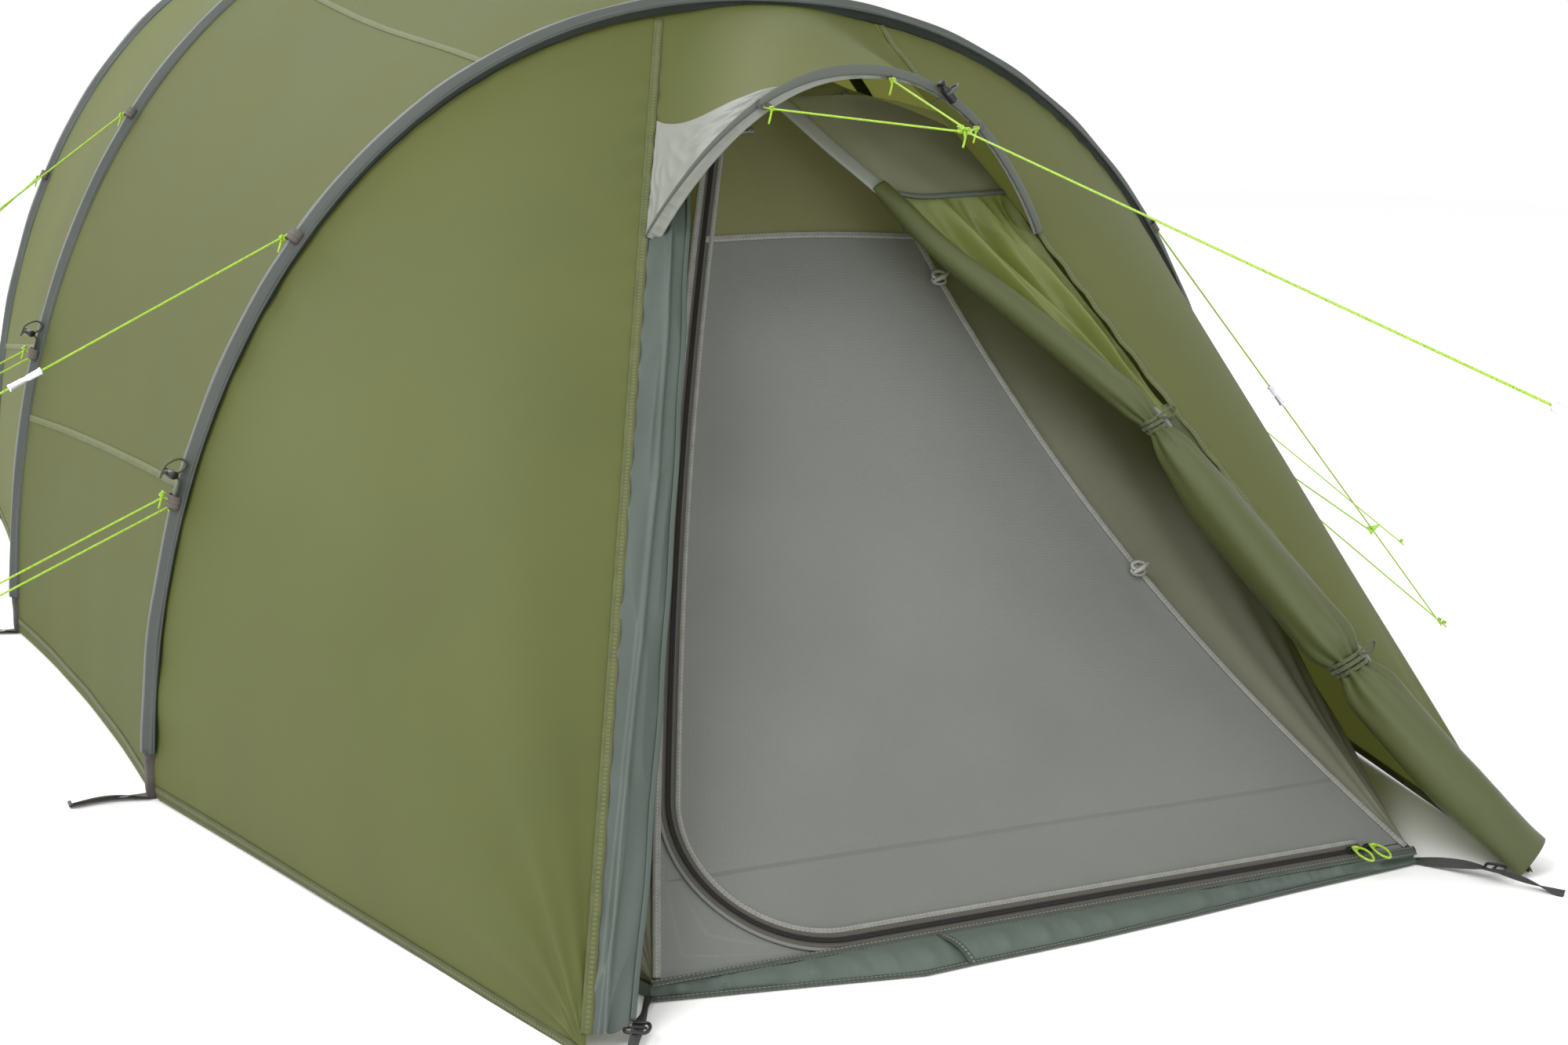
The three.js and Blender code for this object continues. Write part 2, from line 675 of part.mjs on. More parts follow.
const wholeWall = frontWallBody(0, FABRIC, -2 * FABRIC);
add('inner_front_wall', cut(wholeWall, chordPrism(doorOutline(SEAM_GAP))), GREY_FABRIC);
add('inner_door', common(wholeWall, chordPrism(doorOutline())), GREY_FABRIC);

// The two halves of the coil zip lie on the wall and on the door, on either side of the gap.
function zipTapes() {
  const layer = frontWallBody(ZIP.lift + ZIP.tapeThickness, ZIP.tapeThickness, -2 * FABRIC);
  const inwards = DOOR.hingeMargin + ZIP.hingeStop;
  const hingeSide = chordPrism([
    new THREE.Vector2(INNER.frontHalfWidth - inwards, -PRISM.past),
    new THREE.Vector2(INNER.frontHalfWidth + PRISM.beyond, -PRISM.past),
    new THREE.Vector2(INNER.frontHalfWidth + PRISM.beyond, chordLength + PRISM.past),
    new THREE.Vector2(INNER.topHalfWidth - inwards, chordLength + PRISM.past),
  ]);
  const outside = cut(common(layer, chordPrism(doorOutline(ZIP.tapeWidth))), chordPrism(doorOutline(SEAM_GAP)));
  const inside = cut(common(layer, chordPrism(doorOutline())), chordPrism(doorOutline(-ZIP.tapeWidth)));
  return [cut(outside, hingeSide), cut(inside, hingeSide)];
}

const [wallTape, doorTape] = zipTapes();
add('inner_zip_wall_tape', wallTape, DARK_FABRIC);
add('inner_zip_door_tape', doorTape, DARK_FABRIC);

// An arch of the inner tent, hanging inside the flysheet at the depth y.
function innerArch(y, angle) {
  const [near, far] = y < HOOPS.middle.y ? [HOOPS.front, HOOPS.middle] : [HOOPS.middle, HOOPS.rear];
  const share = (y - near.y) / (far.y - near.y);
  const width = near.width + (far.width - near.width) * share - 2 * INNER.sideInset;
  const height = near.height + (far.height - near.height) * share - INNER.topInset;
  return archPoint(width, height, y, angle);
}

const innerHem = angleAtHeight(HOOPS.front.height - INNER.topInset, innerFloor + SEAM_GAP);
const innerSeam = SEAM_GAP / HOOPS.front.width;

const OVERLAP = 0.5; // how deep the two halves of a side wall reach into each other
const CUT_PAST = 10; // how far a cutting body reaches past what it cuts

function innerSide(side) {
  const corner = vector(side * INNER.frontHalfWidth, innerFront, innerFloor + SEAM_GAP);
  const topAngle = angleAtSide(HOOPS.front.width - 2 * INNER.sideInset, INNER.topHalfWidth + INNER.seamInset);
  const nose = (u, v) => {
    const rim = mirrored(innerArch(0, innerHem + (topAngle - innerHem) * u), -side);
    const point = mix(corner, rim, INNER.cornerTrim + (1 - INNER.cornerTrim) * v);
    const slack = INNER.wallSag * 4 * v * (1 - v) * u * u;
    return point.addScaledVector(wallOut, -slack);
  };
  const main = (u, v) => {
    const y = -OVERLAP + (INNER.rearY + OVERLAP - FABRIC - SEAM_GAP) * v;
    const angle = innerHem + (INNER.sideTop - innerSeam - innerHem) * u;
    return mirrored(innerArch(y, angle), -side);
  };
  return join(panel(nose, 8, 6, CABIN_MIDDLE), panel(main, 8, 4, CABIN_MIDDLE));
}

add('inner_left_wall', innerSide(-1), GREY_FABRIC);
add('inner_right_wall', innerSide(1), GREY_FABRIC);

function innerRoof() {
  const from = INNER.sideTop + innerSeam;
  const surface = (u, v) => {
    const y = FABRIC + SEAM_GAP + (INNER.rearY - 2 * FABRIC - 2 * SEAM_GAP) * v;
    return innerArch(y, from + (Math.PI - 2 * from) * u);
  };
  return panel(surface, 8, 4, CABIN_MIDDLE);
}

add('inner_roof', innerRoof(), GREY_FABRIC);

function innerRear() {
  const shape = new THREE.Shape();
  const points = [];
  for (let i = 0; i <= 16; i += 1) {
    const angle = innerHem + (Math.PI - 2 * innerHem) * (i / 16);
    const rim = innerArch(INNER.rearY, angle);
    points.push(new THREE.Vector2(rim.x, rim.z));
  }
  shape.setFromPoints(points);
  const geometry = new THREE.ExtrudeGeometry(shape, { depth: FABRIC, bevelEnabled: false });
  geometry.rotateX(Math.PI / 2);
  geometry.translate(0, INNER.rearY + FABRIC, 0);
  return geometry;
}

add('inner_rear_wall', innerRear(), GREY_FABRIC);

// The groundsheet is a shallow tub under the inner tent. Its outline follows the feet of the inner walls.
function tubOutline(inset) {
  const half = (y) => Math.abs(innerArch(y, innerHem).x) + TUB.wall - inset;
  const corner = INNER.frontHalfWidth + TUB.wall - inset;
  const front = innerFront - TUB.wall + inset;
  const rear = INNER.rearY + TUB.wall - inset;
  const right = [
    new THREE.Vector2(corner, front),
    new THREE.Vector2(half(0), 0),
    new THREE.Vector2(half(HOOPS.middle.y), HOOPS.middle.y),
    new THREE.Vector2(half(INNER.rearY), rear),
  ];
  const left = right.map((point) => new THREE.Vector2(-point.x, point.y)).reverse();
  return [...right, ...left];
}

function slab(points, low, high) {
  const options = { depth: high - low, bevelEnabled: false };
  const geometry = new THREE.ExtrudeGeometry(new THREE.Shape(points), options);
  geometry.translate(0, 0, low);
  return solid(geometry);
}

const tub = cut(slab(tubOutline(0), 0, TUB.height), slab(tubOutline(TUB.wall), TUB.floor, TUB.height + CUT_PAST));
add('groundsheet_tub', tub, TUB_GREEN);

// ---------------------------------------------------------------- zip sliders and pulls

const sliderLift = ZIP.lift + ZIP.tapeThickness + FIT_GAP;
const zipRow = DOOR.bottomMargin / chordLength;

function sliderFrame(x) {
  const seat = wallPoint(x, zipRow, sliderLift);
  const ahead = wallPoint(x, 2 * zipRow, sliderLift);
  const up = ahead.sub(seat).normalize();
  return new THREE.Matrix4().makeBasis(vector(1, 0, 0), up, vector(1, 0, 0).cross(up)).setPosition(seat);
}

function zipSlider(x) {
  const side = new THREE.BoxGeometry(SLIDER.length, SLIDER.width, SLIDER.height);
  side.translate(0, 0, SLIDER.height / 2);
  side.applyMatrix4(sliderFrame(x));
  return side;
}

// A pull is a closed loop of cord with its knot, hanging on the slider's front face.
function zipPull(x) {
  const [w, l] = [PULL.width / 2, PULL.length];
  const ring = new THREE.CatmullRomCurve3([
    vector(-w / 3, 0, 0),
    vector(-w, -l / 2, 0),
    vector(0, -l, 0),
    vector(w, -l / 2, 0),
    vector(w / 3, 0, 0),
  ], true);
  const loop = sweep(new THREE.Shape(polygon(PULL.cord / 2, 6)), ring, 20);
  loop.rotateX(-PULL.tilt);
  loop.translate(0, 0, SLIDER.height + PULL.cord / 2 + PULL.lift);
  loop.applyMatrix4(sliderFrame(x));
  return loop;
}

const sliderX = INNER.frontHalfWidth - SLIDER.fromCorner;
add('lower_zip_slider', zipSlider(sliderX), DARK_FABRIC);
add('upper_zip_slider', zipSlider(sliderX - SLIDER.spacing), DARK_FABRIC);
add('lower_zip_pull', zipPull(sliderX), LIME);
add('upper_zip_pull', zipPull(sliderX - SLIDER.spacing), LIME);

// ---------------------------------------------------------------- corner straps of the inner tent

// Each strap runs from the inner tent's corner, past the nose corner of the flysheet, to its peg.
function cornerStrap(side) {
  const start = vector(side * (INNER.frontHalfWidth + TUB.wall), innerFront - TUB.wall - FIT_GAP, 0);
  const direction = vector(side * STRAP.splay, -1, 0).normalize();
  start.addScaledVector(direction, STRAP.width / 2);
  const geometry = new THREE.BoxGeometry(STRAP.length, STRAP.width, STRAP.thickness);
  geometry.translate(STRAP.length / 2, 0, STRAP.thickness / 2);
  geometry.rotateZ(Math.atan2(direction.y, direction.x));
  geometry.translate(start.x, start.y, 0);
  return geometry;
}

add('left_corner_strap', cornerStrap(-1), DARK_FABRIC);
add('right_corner_strap', cornerStrap(1), DARK_FABRIC);

// ---------------------------------------------------------------- guy lines

// Where a guy line is tied, at the height z: just outside the hoop's sleeve.
function sleevePoint(hoop, side, z) {
  const angle = angleAtHeight(hoop.height, z);
  const along = hoopPoint(hoop, angle + 0.01).sub(hoopPoint(hoop, angle - 0.01));
  const outward = vector(-along.z, 0, along.x).normalize();
  const point = hoopPoint(hoop, angle).addScaledVector(outward, SLEEVE.depth / 2 + GUY_DIAMETER + FIT_GAP);
  return mirrored(point, -side);
}

// An upper guy runs straight from the sleeve to its far end.
function upperGuy(name, hoop, side, z, far) {
  const near = sleevePoint(hoop, side, z);
  addCord(name, [near, far]);
  return [near, far];
}

// A lower guy is one line: out to the sleeve, round its ring and back, so that it lies double.
function lowerGuy(name, hoop, side, z, farTop, farLow) {
  const ring = sleevePoint(hoop, side, z);
  const away = mix(farTop, farLow, 0.5).sub(ring).normalize();
  const centre = ring.addScaledVector(away, LOOP_RADIUS);
  const up = vector(0, 0, 1).projectOnPlane(away).normalize();
  const turn = [];
  for (let i = 0; i <= 6; i += 1) {
    const angle = (Math.PI * i) / 6;
    const point = centre.clone().addScaledVector(up, LOOP_RADIUS * Math.cos(angle));
    turn.push(point.addScaledVector(away, -LOOP_RADIUS * Math.sin(angle)));
  }
  addCord(name, [farTop, ...turn, farLow]);
}

const { front, middle, rear } = HOOPS;
upperGuy('left_middle_upper_guy', middle, -1, UPPER_TIE_Z.middle, GUY_POINTS.leftMiddle);
upperGuy('left_rear_upper_guy', rear, -1, UPPER_TIE_Z.rear, GUY_POINTS.leftRear);
upperGuy('right_middle_upper_guy', middle, 1, UPPER_TIE_Z.middle, GUY_POINTS.rightMiddle);
lowerGuy('left_front_lower_guy', front, -1, LOWER_TIE_Z.front, ...GUY_POINTS.leftFrontLower);
lowerGuy('left_middle_lower_guy', middle, -1, LOWER_TIE_Z.middle, ...GUY_POINTS.leftMiddleLower);
const leftFront = upperGuy('left_front_upper_guy', front, -1, UPPER_TIE_Z.front, GUY_POINTS.leftFront);
const rightFront = upperGuy('right_front_upper_guy', front, 1, UPPER_TIE_Z.front, GUY_POINTS.rightFront);

// The three legs of the nose guy leave the brim and meet in a knot, and one line runs on from there.
const knot = GUY_POINTS.noseKnot;
const besideKnot = 1.5 * GUY_DIAMETER;
const brimTie = (share) => brimPoint(share).add(vector(0, -BAND.thickness - GUY_DIAMETER, -besideKnot));
const knotSide = (x, z) => knot.clone().add(vector(x, besideKnot, z));
addCord('left_bridle_guy', [brimTie(BRIDLE.left), knotSide(-besideKnot, 0)]);
addCord('centre_bridle_guy', [brimTie(BRIDLE.centre), knotSide(0, besideKnot)]);
addCord('nose_guy', [brimTie(BRIDLE.right), knot, GUY_POINTS.nose]);

// ---------------------------------------------------------------- tensioners on the guy lines

const RUNNER_BORE = GUY_DIAMETER + RUNNER.clearance;

// A runner is a short tube round its line, at a share of the line's length.
function addRunner(name, [near, far], share) {
  const along = far.clone().sub(near).normalize();
  const middle = mix(near, far, share);
  const start = middle.clone().addScaledVector(along, -RUNNER.length / 2);
  const end = middle.clone().addScaledVector(along, RUNNER.length / 2);
  add(name, sleeveBetween(start, end, RUNNER.diameter, RUNNER_BORE), SILVER);
}

addRunner('left_guy_runner', leftFront, RUNNER_SHARES.left);
addRunner('right_guy_runner', rightFront, RUNNER_SHARES.right);
addRunner('nose_guy_runner', [knot, GUY_POINTS.nose], RUNNER_SHARES.nose);

// The plate gathers the right front guys: the upper line runs through it and the lower one ends at it.
function addPlate() {
  const [near, far] = rightFront;
  const along = far.clone().sub(near).normalize();
  const centre = mix(near, far, PLATE.share);
  const shape = new THREE.Shape(polygon(PLATE.size / 2, 3));
  shape.holes.push(new THREE.Path(polygon(RUNNER_BORE / 2, 8)));
  const start = centre.clone().addScaledVector(along, -PLATE.thickness / 2);
  const end = centre.clone().addScaledVector(along, PLATE.thickness / 2);
  add('right_guy_plate', sweep(shape, new THREE.LineCurve3(start, end), 1), LIME);
  return centre.clone().addScaledVector(along, -PLATE.size / 2).add(vector(0, 0, -PLATE.size / 3));
}

lowerGuy('right_front_lower_guy', front, 1, LOWER_TIE_Z.front, addPlate(), GUY_POINTS.rightFrontLower);

// ---------------------------------------------------------------- placing the tent

// The origin is the middle of the base of the tent itself, without its guy lines.
const fittings = ['left_guy_runner', 'right_guy_runner', 'nose_guy_runner', 'right_guy_plate'];
const cordPieces = new Set([...cordNames, ...fittings]);
const body = new THREE.Box3();
for (const [name, mesh] of bodies) {
  if (!cordPieces.has(name)) body.expandByObject(mesh);
}
const middleOfBase = body.getCenter(vector());
tent.position.set(-middleOfBase.x, -middleOfBase.y, -body.min.z);

export default tent;
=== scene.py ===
import math

import bpy
import numpy as np
from mathutils import Matrix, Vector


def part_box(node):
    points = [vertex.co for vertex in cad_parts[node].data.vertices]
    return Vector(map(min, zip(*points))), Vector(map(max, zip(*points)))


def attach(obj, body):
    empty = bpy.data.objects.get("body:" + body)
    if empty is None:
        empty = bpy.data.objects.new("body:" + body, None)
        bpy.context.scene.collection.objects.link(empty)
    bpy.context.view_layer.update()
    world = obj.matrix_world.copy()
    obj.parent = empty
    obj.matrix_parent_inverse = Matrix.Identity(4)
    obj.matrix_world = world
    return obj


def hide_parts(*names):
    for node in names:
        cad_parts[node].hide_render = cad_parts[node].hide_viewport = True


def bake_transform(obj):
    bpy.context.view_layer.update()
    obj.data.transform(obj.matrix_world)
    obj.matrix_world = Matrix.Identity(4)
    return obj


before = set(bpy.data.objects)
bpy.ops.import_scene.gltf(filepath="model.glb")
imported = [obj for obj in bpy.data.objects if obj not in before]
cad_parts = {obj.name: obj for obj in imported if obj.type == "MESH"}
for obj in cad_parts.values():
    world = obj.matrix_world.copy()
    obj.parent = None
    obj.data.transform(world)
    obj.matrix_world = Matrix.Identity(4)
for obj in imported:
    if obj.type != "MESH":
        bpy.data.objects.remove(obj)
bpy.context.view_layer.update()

# ---------------------------------------------------------------- the tent's own frame
# Sizes are metres. While the tent is drawn, y = 0 is the front hoop's plane, x = 0 is the plane of symmetry
# and -Y points out of the nose. Every point is moved to the row frame when its piece is made.

FRONT_HOOP_Y = float(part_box("front_pole")[0][1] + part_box("front_pole")[1][1]) / 2
TO_ROW = np.array([0.0, FRONT_HOOP_Y, 0.0])

FRONT = (0.0, 1.700, 1.020)  # a hoop's place along the tent, its width and its height
MIDDLE = (0.920, 1.820, 1.220)
REAR = (1.900, 1.680, 1.220)
SIDE_POWER = 2.2
TOP_POWER = 2.1
NOSE_LENGTH, NOSE_HALF_WIDTH = 0.910, 0.603
TAIL_LENGTH, TAIL_HALF_WIDTH = 0.750, 0.560
SEAM_HALF_GAP = 0.150
HEM_HEIGHT = 0.003
BAY_SAG = 0.014
SLEEVE_WIDTH, SLEEVE_DEPTH, SLEEVE_FOOT = 0.034, 0.024, 0.062
SLEEVE_EDGE = SLEEVE_WIDTH / 2
UNDER_SLEEVE = SLEEVE_EDGE - 0.003  # from a hoop's plane to the edge of the cloth sewn under its sleeve
GUY_DIAMETER = 0.0026
BRIM_SHARE, BRIM_REACH, BRIM_RISE = 0.285, 0.285, 0.202
BRIM_SIDE_POWER, BRIM_TOP_POWER = 0.91, 1.9
BRIM_TIES = (0.348, 0.53, 0.692)  # shares of the brim where the nose guy's legs are tied
BRIM_BAND = 0.026

INNER_HALF_WIDTH, INNER_REACH = 0.495, 0.815
INNER_TOP_HALF, INNER_TOP_SETBACK = 0.100, 0.040
INNER_SIDE_INSET, INNER_TOP_INSET = 0.070, 0.115
INNER_SAG, INNER_REAR = 0.075, 1.400
TUB_HEIGHT, TUB_WALL = 0.016, 0.003
DOOR_SIDE, DOOR_BOTTOM, DOOR_TOP, DOOR_HINGE, DOOR_CORNER = 0.016, 0.010, 0.070, 0.026, 0.150


def pt(x, y, z):
    """Points from numbers or arrays of numbers."""
    return np.stack(np.broadcast_arrays(np.asarray(x, float), y, z), -1)


def matched(a, b):
    """Two numbers or arrays, as arrays of one shape."""
    return np.broadcast_arrays(np.asarray(a, float), np.asarray(b, float))


def mix(a, b, share):
    share = np.asarray(share, float)[..., None]
    return np.asarray(a) * (1 - share) + np.asarray(b) * share


def unit(vectors):
    return vectors / np.maximum(np.linalg.norm(vectors, axis=-1, keepdims=True), 1e-12)


def squared(wave, power):
    """A sine or cosine with its sign, raised to a power, which squares off the circle that it draws."""
    return np.sign(wave) * np.abs(wave) ** power


def arch(width, height, y, angle):
    """A point of an arch. The angle runs from 0 at the left foot to pi at the right foot."""
    cosine, sine = np.cos(angle), np.clip(np.sin(angle), 0, None)
    x = -width / 2 * squared(cosine, 2 / SIDE_POWER)
    return pt(x, y, height * sine ** (2 / TOP_POWER))


def hoop_point(hoop, angle):
    return arch(hoop[1], hoop[2], hoop[0], angle)


def mirrored(side):
    """Turns a point of the left half into one on a side: -1 is left and 1 is right."""
    return np.array([-side, 1, 1])


def angle_at_height(height, z):
    return math.asin((z / height) ** (TOP_POWER / 2))


def angle_at_side(width, x):
    return math.acos((2 * x / width) ** (SIDE_POWER / 2))


# ---------------------------------------------------------------- camera

def placed(x_axis, y_axis, z_axis, place):
    """The matrix of a camera or lamp, which looks along -Z of its own axes."""
    return Matrix([[x_axis[i], y_axis[i], z_axis[i], place[i]] for i in range(3)] + [[0, 0, 0, 1]])


def make_camera():
    data = bpy.data.cameras.new("camera")
    data.lens, data.sensor_width = 48.228, 36.0
    data.clip_start, data.clip_end = 0.05, 60
    camera = bpy.data.objects.new("camera", data)
    bpy.context.collection.objects.link(camera)
    yaw, pitch, roll = math.radians(26.117), math.radians(-11.584), math.radians(1.204)
    forward = np.array([math.sin(yaw) * math.cos(pitch), math.cos(yaw) * math.cos(pitch), math.sin(pitch)])
    level = np.array([math.cos(yaw), -math.sin(yaw), 0.0])
    above = np.cross(level, forward)
    right = level * math.cos(roll) + above * math.sin(roll)
    up = np.cross(right, forward)
    place = np.array([-1.25626, -2.64689, 0.89949]) + TO_ROW
    camera.matrix_world = placed(right, up, -forward, place)
    bpy.context.scene.camera = camera


make_camera()

# ---------------------------------------------------------------- mesh tools


def link(name, data, material, body="tent", replaces=()):
    piece = bpy.data.objects.new(name, data)
    bpy.context.collection.objects.link(piece)
    data.materials.append(material)
    if body:
        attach(piece, body)
    if replaces:
        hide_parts(*replaces)
    return piece


def mesh_of(name, parts):
    """One mesh from parts, each a tuple of points, quads and uvs, in the tent's frame."""
    mesh = bpy.data.meshes.new(name)
    points, faces, uvs, start = [], [], [], 0
    for vertices, quads, uv in parts:
        points.append(vertices)
        faces.extend([[i + start for i in face] for face in quads])
        uvs.append(uv)
        start += len(vertices)
    points, uvs = np.concatenate(points) + TO_ROW, np.concatenate(uvs)
    mesh.from_pydata(points.tolist(), [], faces)
    layer = mesh.uv_layers.new(name="cloth")
    corners = np.zeros(len(mesh.loops), dtype=np.int32)
    mesh.loops.foreach_get("vertex_index", corners)
    layer.data.foreach_set("uv", uvs[corners].astype(np.float32).ravel())
    mesh.shade_smooth()
    mesh.update()
    return mesh


def draw(name, parts, material, body="tent", replaces=()):
    """A piece of the tent, whose mesh has its name."""
    return link(name, mesh_of(name, parts), material, body, replaces)


def grid_part(grid, flip=False):
    """A sheet over a grid of points. Its uvs are lengths along the cloth, in metres."""
    rows, columns = grid.shape[:2]
    index = np.arange(rows * columns).reshape(rows, columns)
    quads = np.stack([index[:-1, :-1], index[:-1, 1:], index[1:, 1:], index[1:, :-1]], -1).reshape(-1, 4)
    if flip:
        quads = quads[:, ::-1]
    middle_row, middle_column = grid[rows // 2], grid[:, columns // 2]
    across = np.concatenate([[0], np.cumsum(np.linalg.norm(np.diff(middle_row, axis=0), axis=-1))])
    along = np.concatenate([[0], np.cumsum(np.linalg.norm(np.diff(middle_column, axis=0), axis=-1))])
    uv = np.stack(np.meshgrid(across, along), -1).reshape(-1, 2)
    return grid.reshape(-1, 3), quads.tolist(), uv


def ring_part(rings, caps=True):
    """A closed tube over rings of points."""
    count, sides = rings.shape[:2]
    index = np.arange(count * sides).reshape(count, sides)
    after = np.roll(index, -1, axis=1)
    quads = np.stack([index[:-1], after[:-1], after[1:], index[1:]], -1).reshape(-1, 4).tolist()
    centres = rings.mean(axis=1)
    along = np.concatenate([[0], np.cumsum(np.linalg.norm(np.diff(centres, axis=0), axis=-1))])
    round_it = np.linalg.norm(rings[:, 1] - rings[:, 0], axis=-1).mean() * np.arange(sides)
    uv = np.stack(np.meshgrid(round_it, along), -1).reshape(-1, 2)
    if caps:
        quads += [index[0][::-1].tolist(), index[-1].tolist()]
    return rings.reshape(-1, 3), quads, uv


def tangents(points):
    return unit(np.gradient(points, axis=0))


def tube_part(points, radius, sides=10, hint=(0.0, 0.0, 1.0)):
    """A round tube along points; radius may vary along it."""
    along = tangents(points)
    side = unit(np.cross(along, np.asarray(hint) + 1e-3 * along.mean(axis=0)))
    for i in range(1, len(points)):  # carried along, so that the section doesn't twist
        moved = side[i - 1] - along[i] * np.dot(side[i - 1], along[i])
        side[i] = moved / np.linalg.norm(moved)
    up = np.cross(side, along)
    turn = np.linspace(0, 2 * math.pi, sides, endpoint=False)
    radius = np.broadcast_to(radius, len(points))[:, None, None]
    section = np.cos(turn)[None, :, None] * side[:, None] + np.sin(turn)[None, :, None] * up[:, None]
    return ring_part(points[:, None] + radius * section)


def band_part(points, side, up, width, thickness, crown=0.0):
    """A flat band along points, with rounded edges: side is across it and up is its face."""
    half = np.broadcast_to(width, len(points)) / 2
    profile = [(-1, 0), (-0.94, 0.5), (-0.5, 0.5), (0, 0.5), (0.5, 0.5), (0.94, 0.5)]
    profile += [(1, 0), (0.94, -0.5), (0, -0.5), (-0.94, -0.5)]
    rings = []
    for across, height in profile:
        lift = height * thickness + crown * (1 - across * across)
        rings.append(points + side * (half * across)[:, None] + up * np.asarray(lift))
    return ring_part(np.stack(rings, axis=1))


def spline(points, count):
    """A smooth line through points, evenly spaced along its length."""
    points = np.asarray(points, float)
    padded = np.concatenate([[2 * points[0] - points[1]], points, [2 * points[-1] - points[-2]]])
    fine = []
    for i in range(1, len(padded) - 2):
        a, b, c, d = padded[i - 1:i + 3]
        t = np.linspace(0, 1, 40, endpoint=i == len(padded) - 3)[:, None]
        fine.append(0.5 * (2 * b + (c - a) * t + (2 * a - 5 * b + 4 * c - d) * t ** 2
                           + (3 * b - a - 3 * c + d) * t ** 3))
    fine = np.concatenate(fine)
    length = np.concatenate([[0], np.cumsum(np.linalg.norm(np.diff(fine, axis=0), axis=1))])
    place = np.linspace(0, length[-1], count)
    return np.stack([np.interp(place, length, fine[:, k]) for k in range(fine.shape[1])], -1)


def waves(u, v, seed, count=6, across=(1.0, 4.0), along=(0.3, 2.0)):
    """A smooth uneven field from about -1 to 1, the same on each run."""
    rng = np.random.default_rng(seed)
    total = 0.0
    for _ in range(count):
        a, b, phase = rng.uniform(*across), rng.uniform(*along), rng.uniform(0, 2 * math.pi)
        total = total + np.sin(2 * math.pi * (a * u + b * v * rng.choice([-1, 1])) + phase)
    return total / math.sqrt(count)


def creases(u, v, seed, count=5, across=(1.0, 4.0), along=(0.3, 2.0)):
    """As waves, with narrow ridges, as crumpled coated cloth has."""
    field = waves(u, v, seed, count, across, along)
    return 1 - 2 * np.abs(field) ** 0.8


def inner_mask(x, power=0.5):
    """0 at both ends of 0 to 1, and 1 in the middle."""
    return np.clip(4 * x * (1 - x), 0, 1) ** power


def near(x, place, reach):
    return np.exp(-((x - place) / reach) ** 2)


def along_rows(rows, share):
    """The point at a share of the way along evenly spaced points."""
    place = np.clip(share, 0, 1) * (len(rows) - 1)
    i = np.minimum(place.astype(int), len(rows) - 2)
    t = (place - i)[..., None]
    return rows[i] * (1 - t) + rows[i + 1] * t


class Cloth:
    """A surface of u and v from 0 to 1, with its wrinkles, and its normal pointing away from the inside."""

    def __init__(self, base, wrinkle=None, inside=(0.0, 0.6, 0.35)):
        self.base, self.wrinkle, self.inside = base, wrinkle, np.asarray(inside)

    def slopes(self, u, v):
        step = 1e-4
        du = self.base(np.minimum(u + step, 1), v) - self.base(np.maximum(u - step, 0), v)
        dv = self.base(u, np.minimum(v + step, 1)) - self.base(u, np.maximum(v - step, 0))
        return du, dv

    def normal(self, u, v):
        du, dv = self.slopes(u, v)
        normal = unit(np.cross(du, dv))
        away = (normal * (self.base(u, v) - self.inside)).sum(-1, keepdims=True)
        return normal * np.where(np.median(away) < 0, -1.0, 1.0)

    def at(self, u, v, lift=0.0):
        height = np.asarray(lift, float)
        if self.wrinkle:
            height = height + self.wrinkle(u, v)
        return self.base(u, v) + self.normal(u, v) * np.asarray(height)[..., None]

    def grid(self, across, along, lift=0.0):
        u, v = np.meshgrid(np.linspace(0, 1, across), np.linspace(0, 1, along))
        return self.at(u, v, lift)

    def faces_in(self):
        du, dv = self.slopes(np.array(0.5), np.array(0.5))
        return float(np.dot(np.cross(du, dv), self.normal(np.array(0.5), np.array(0.5)))) < 0

    def part(self, across, along, lift=0.0):
        return grid_part(self.grid(across, along, lift), self.faces_in())

    def band(self, u, v, width, thickness, lift=None, crown=0.0):
        """A band lying on the cloth, with its middle on the line u, v."""
        u, v = matched(u, v)
        points = self.at(u, v, thickness / 2 if lift is None else lift)
        up = self.normal(u, v)
        side = unit(np.cross(tangents(points), up))
        return band_part(points, side, up, width, thickness, crown)


# ---------------------------------------------------------------- materials


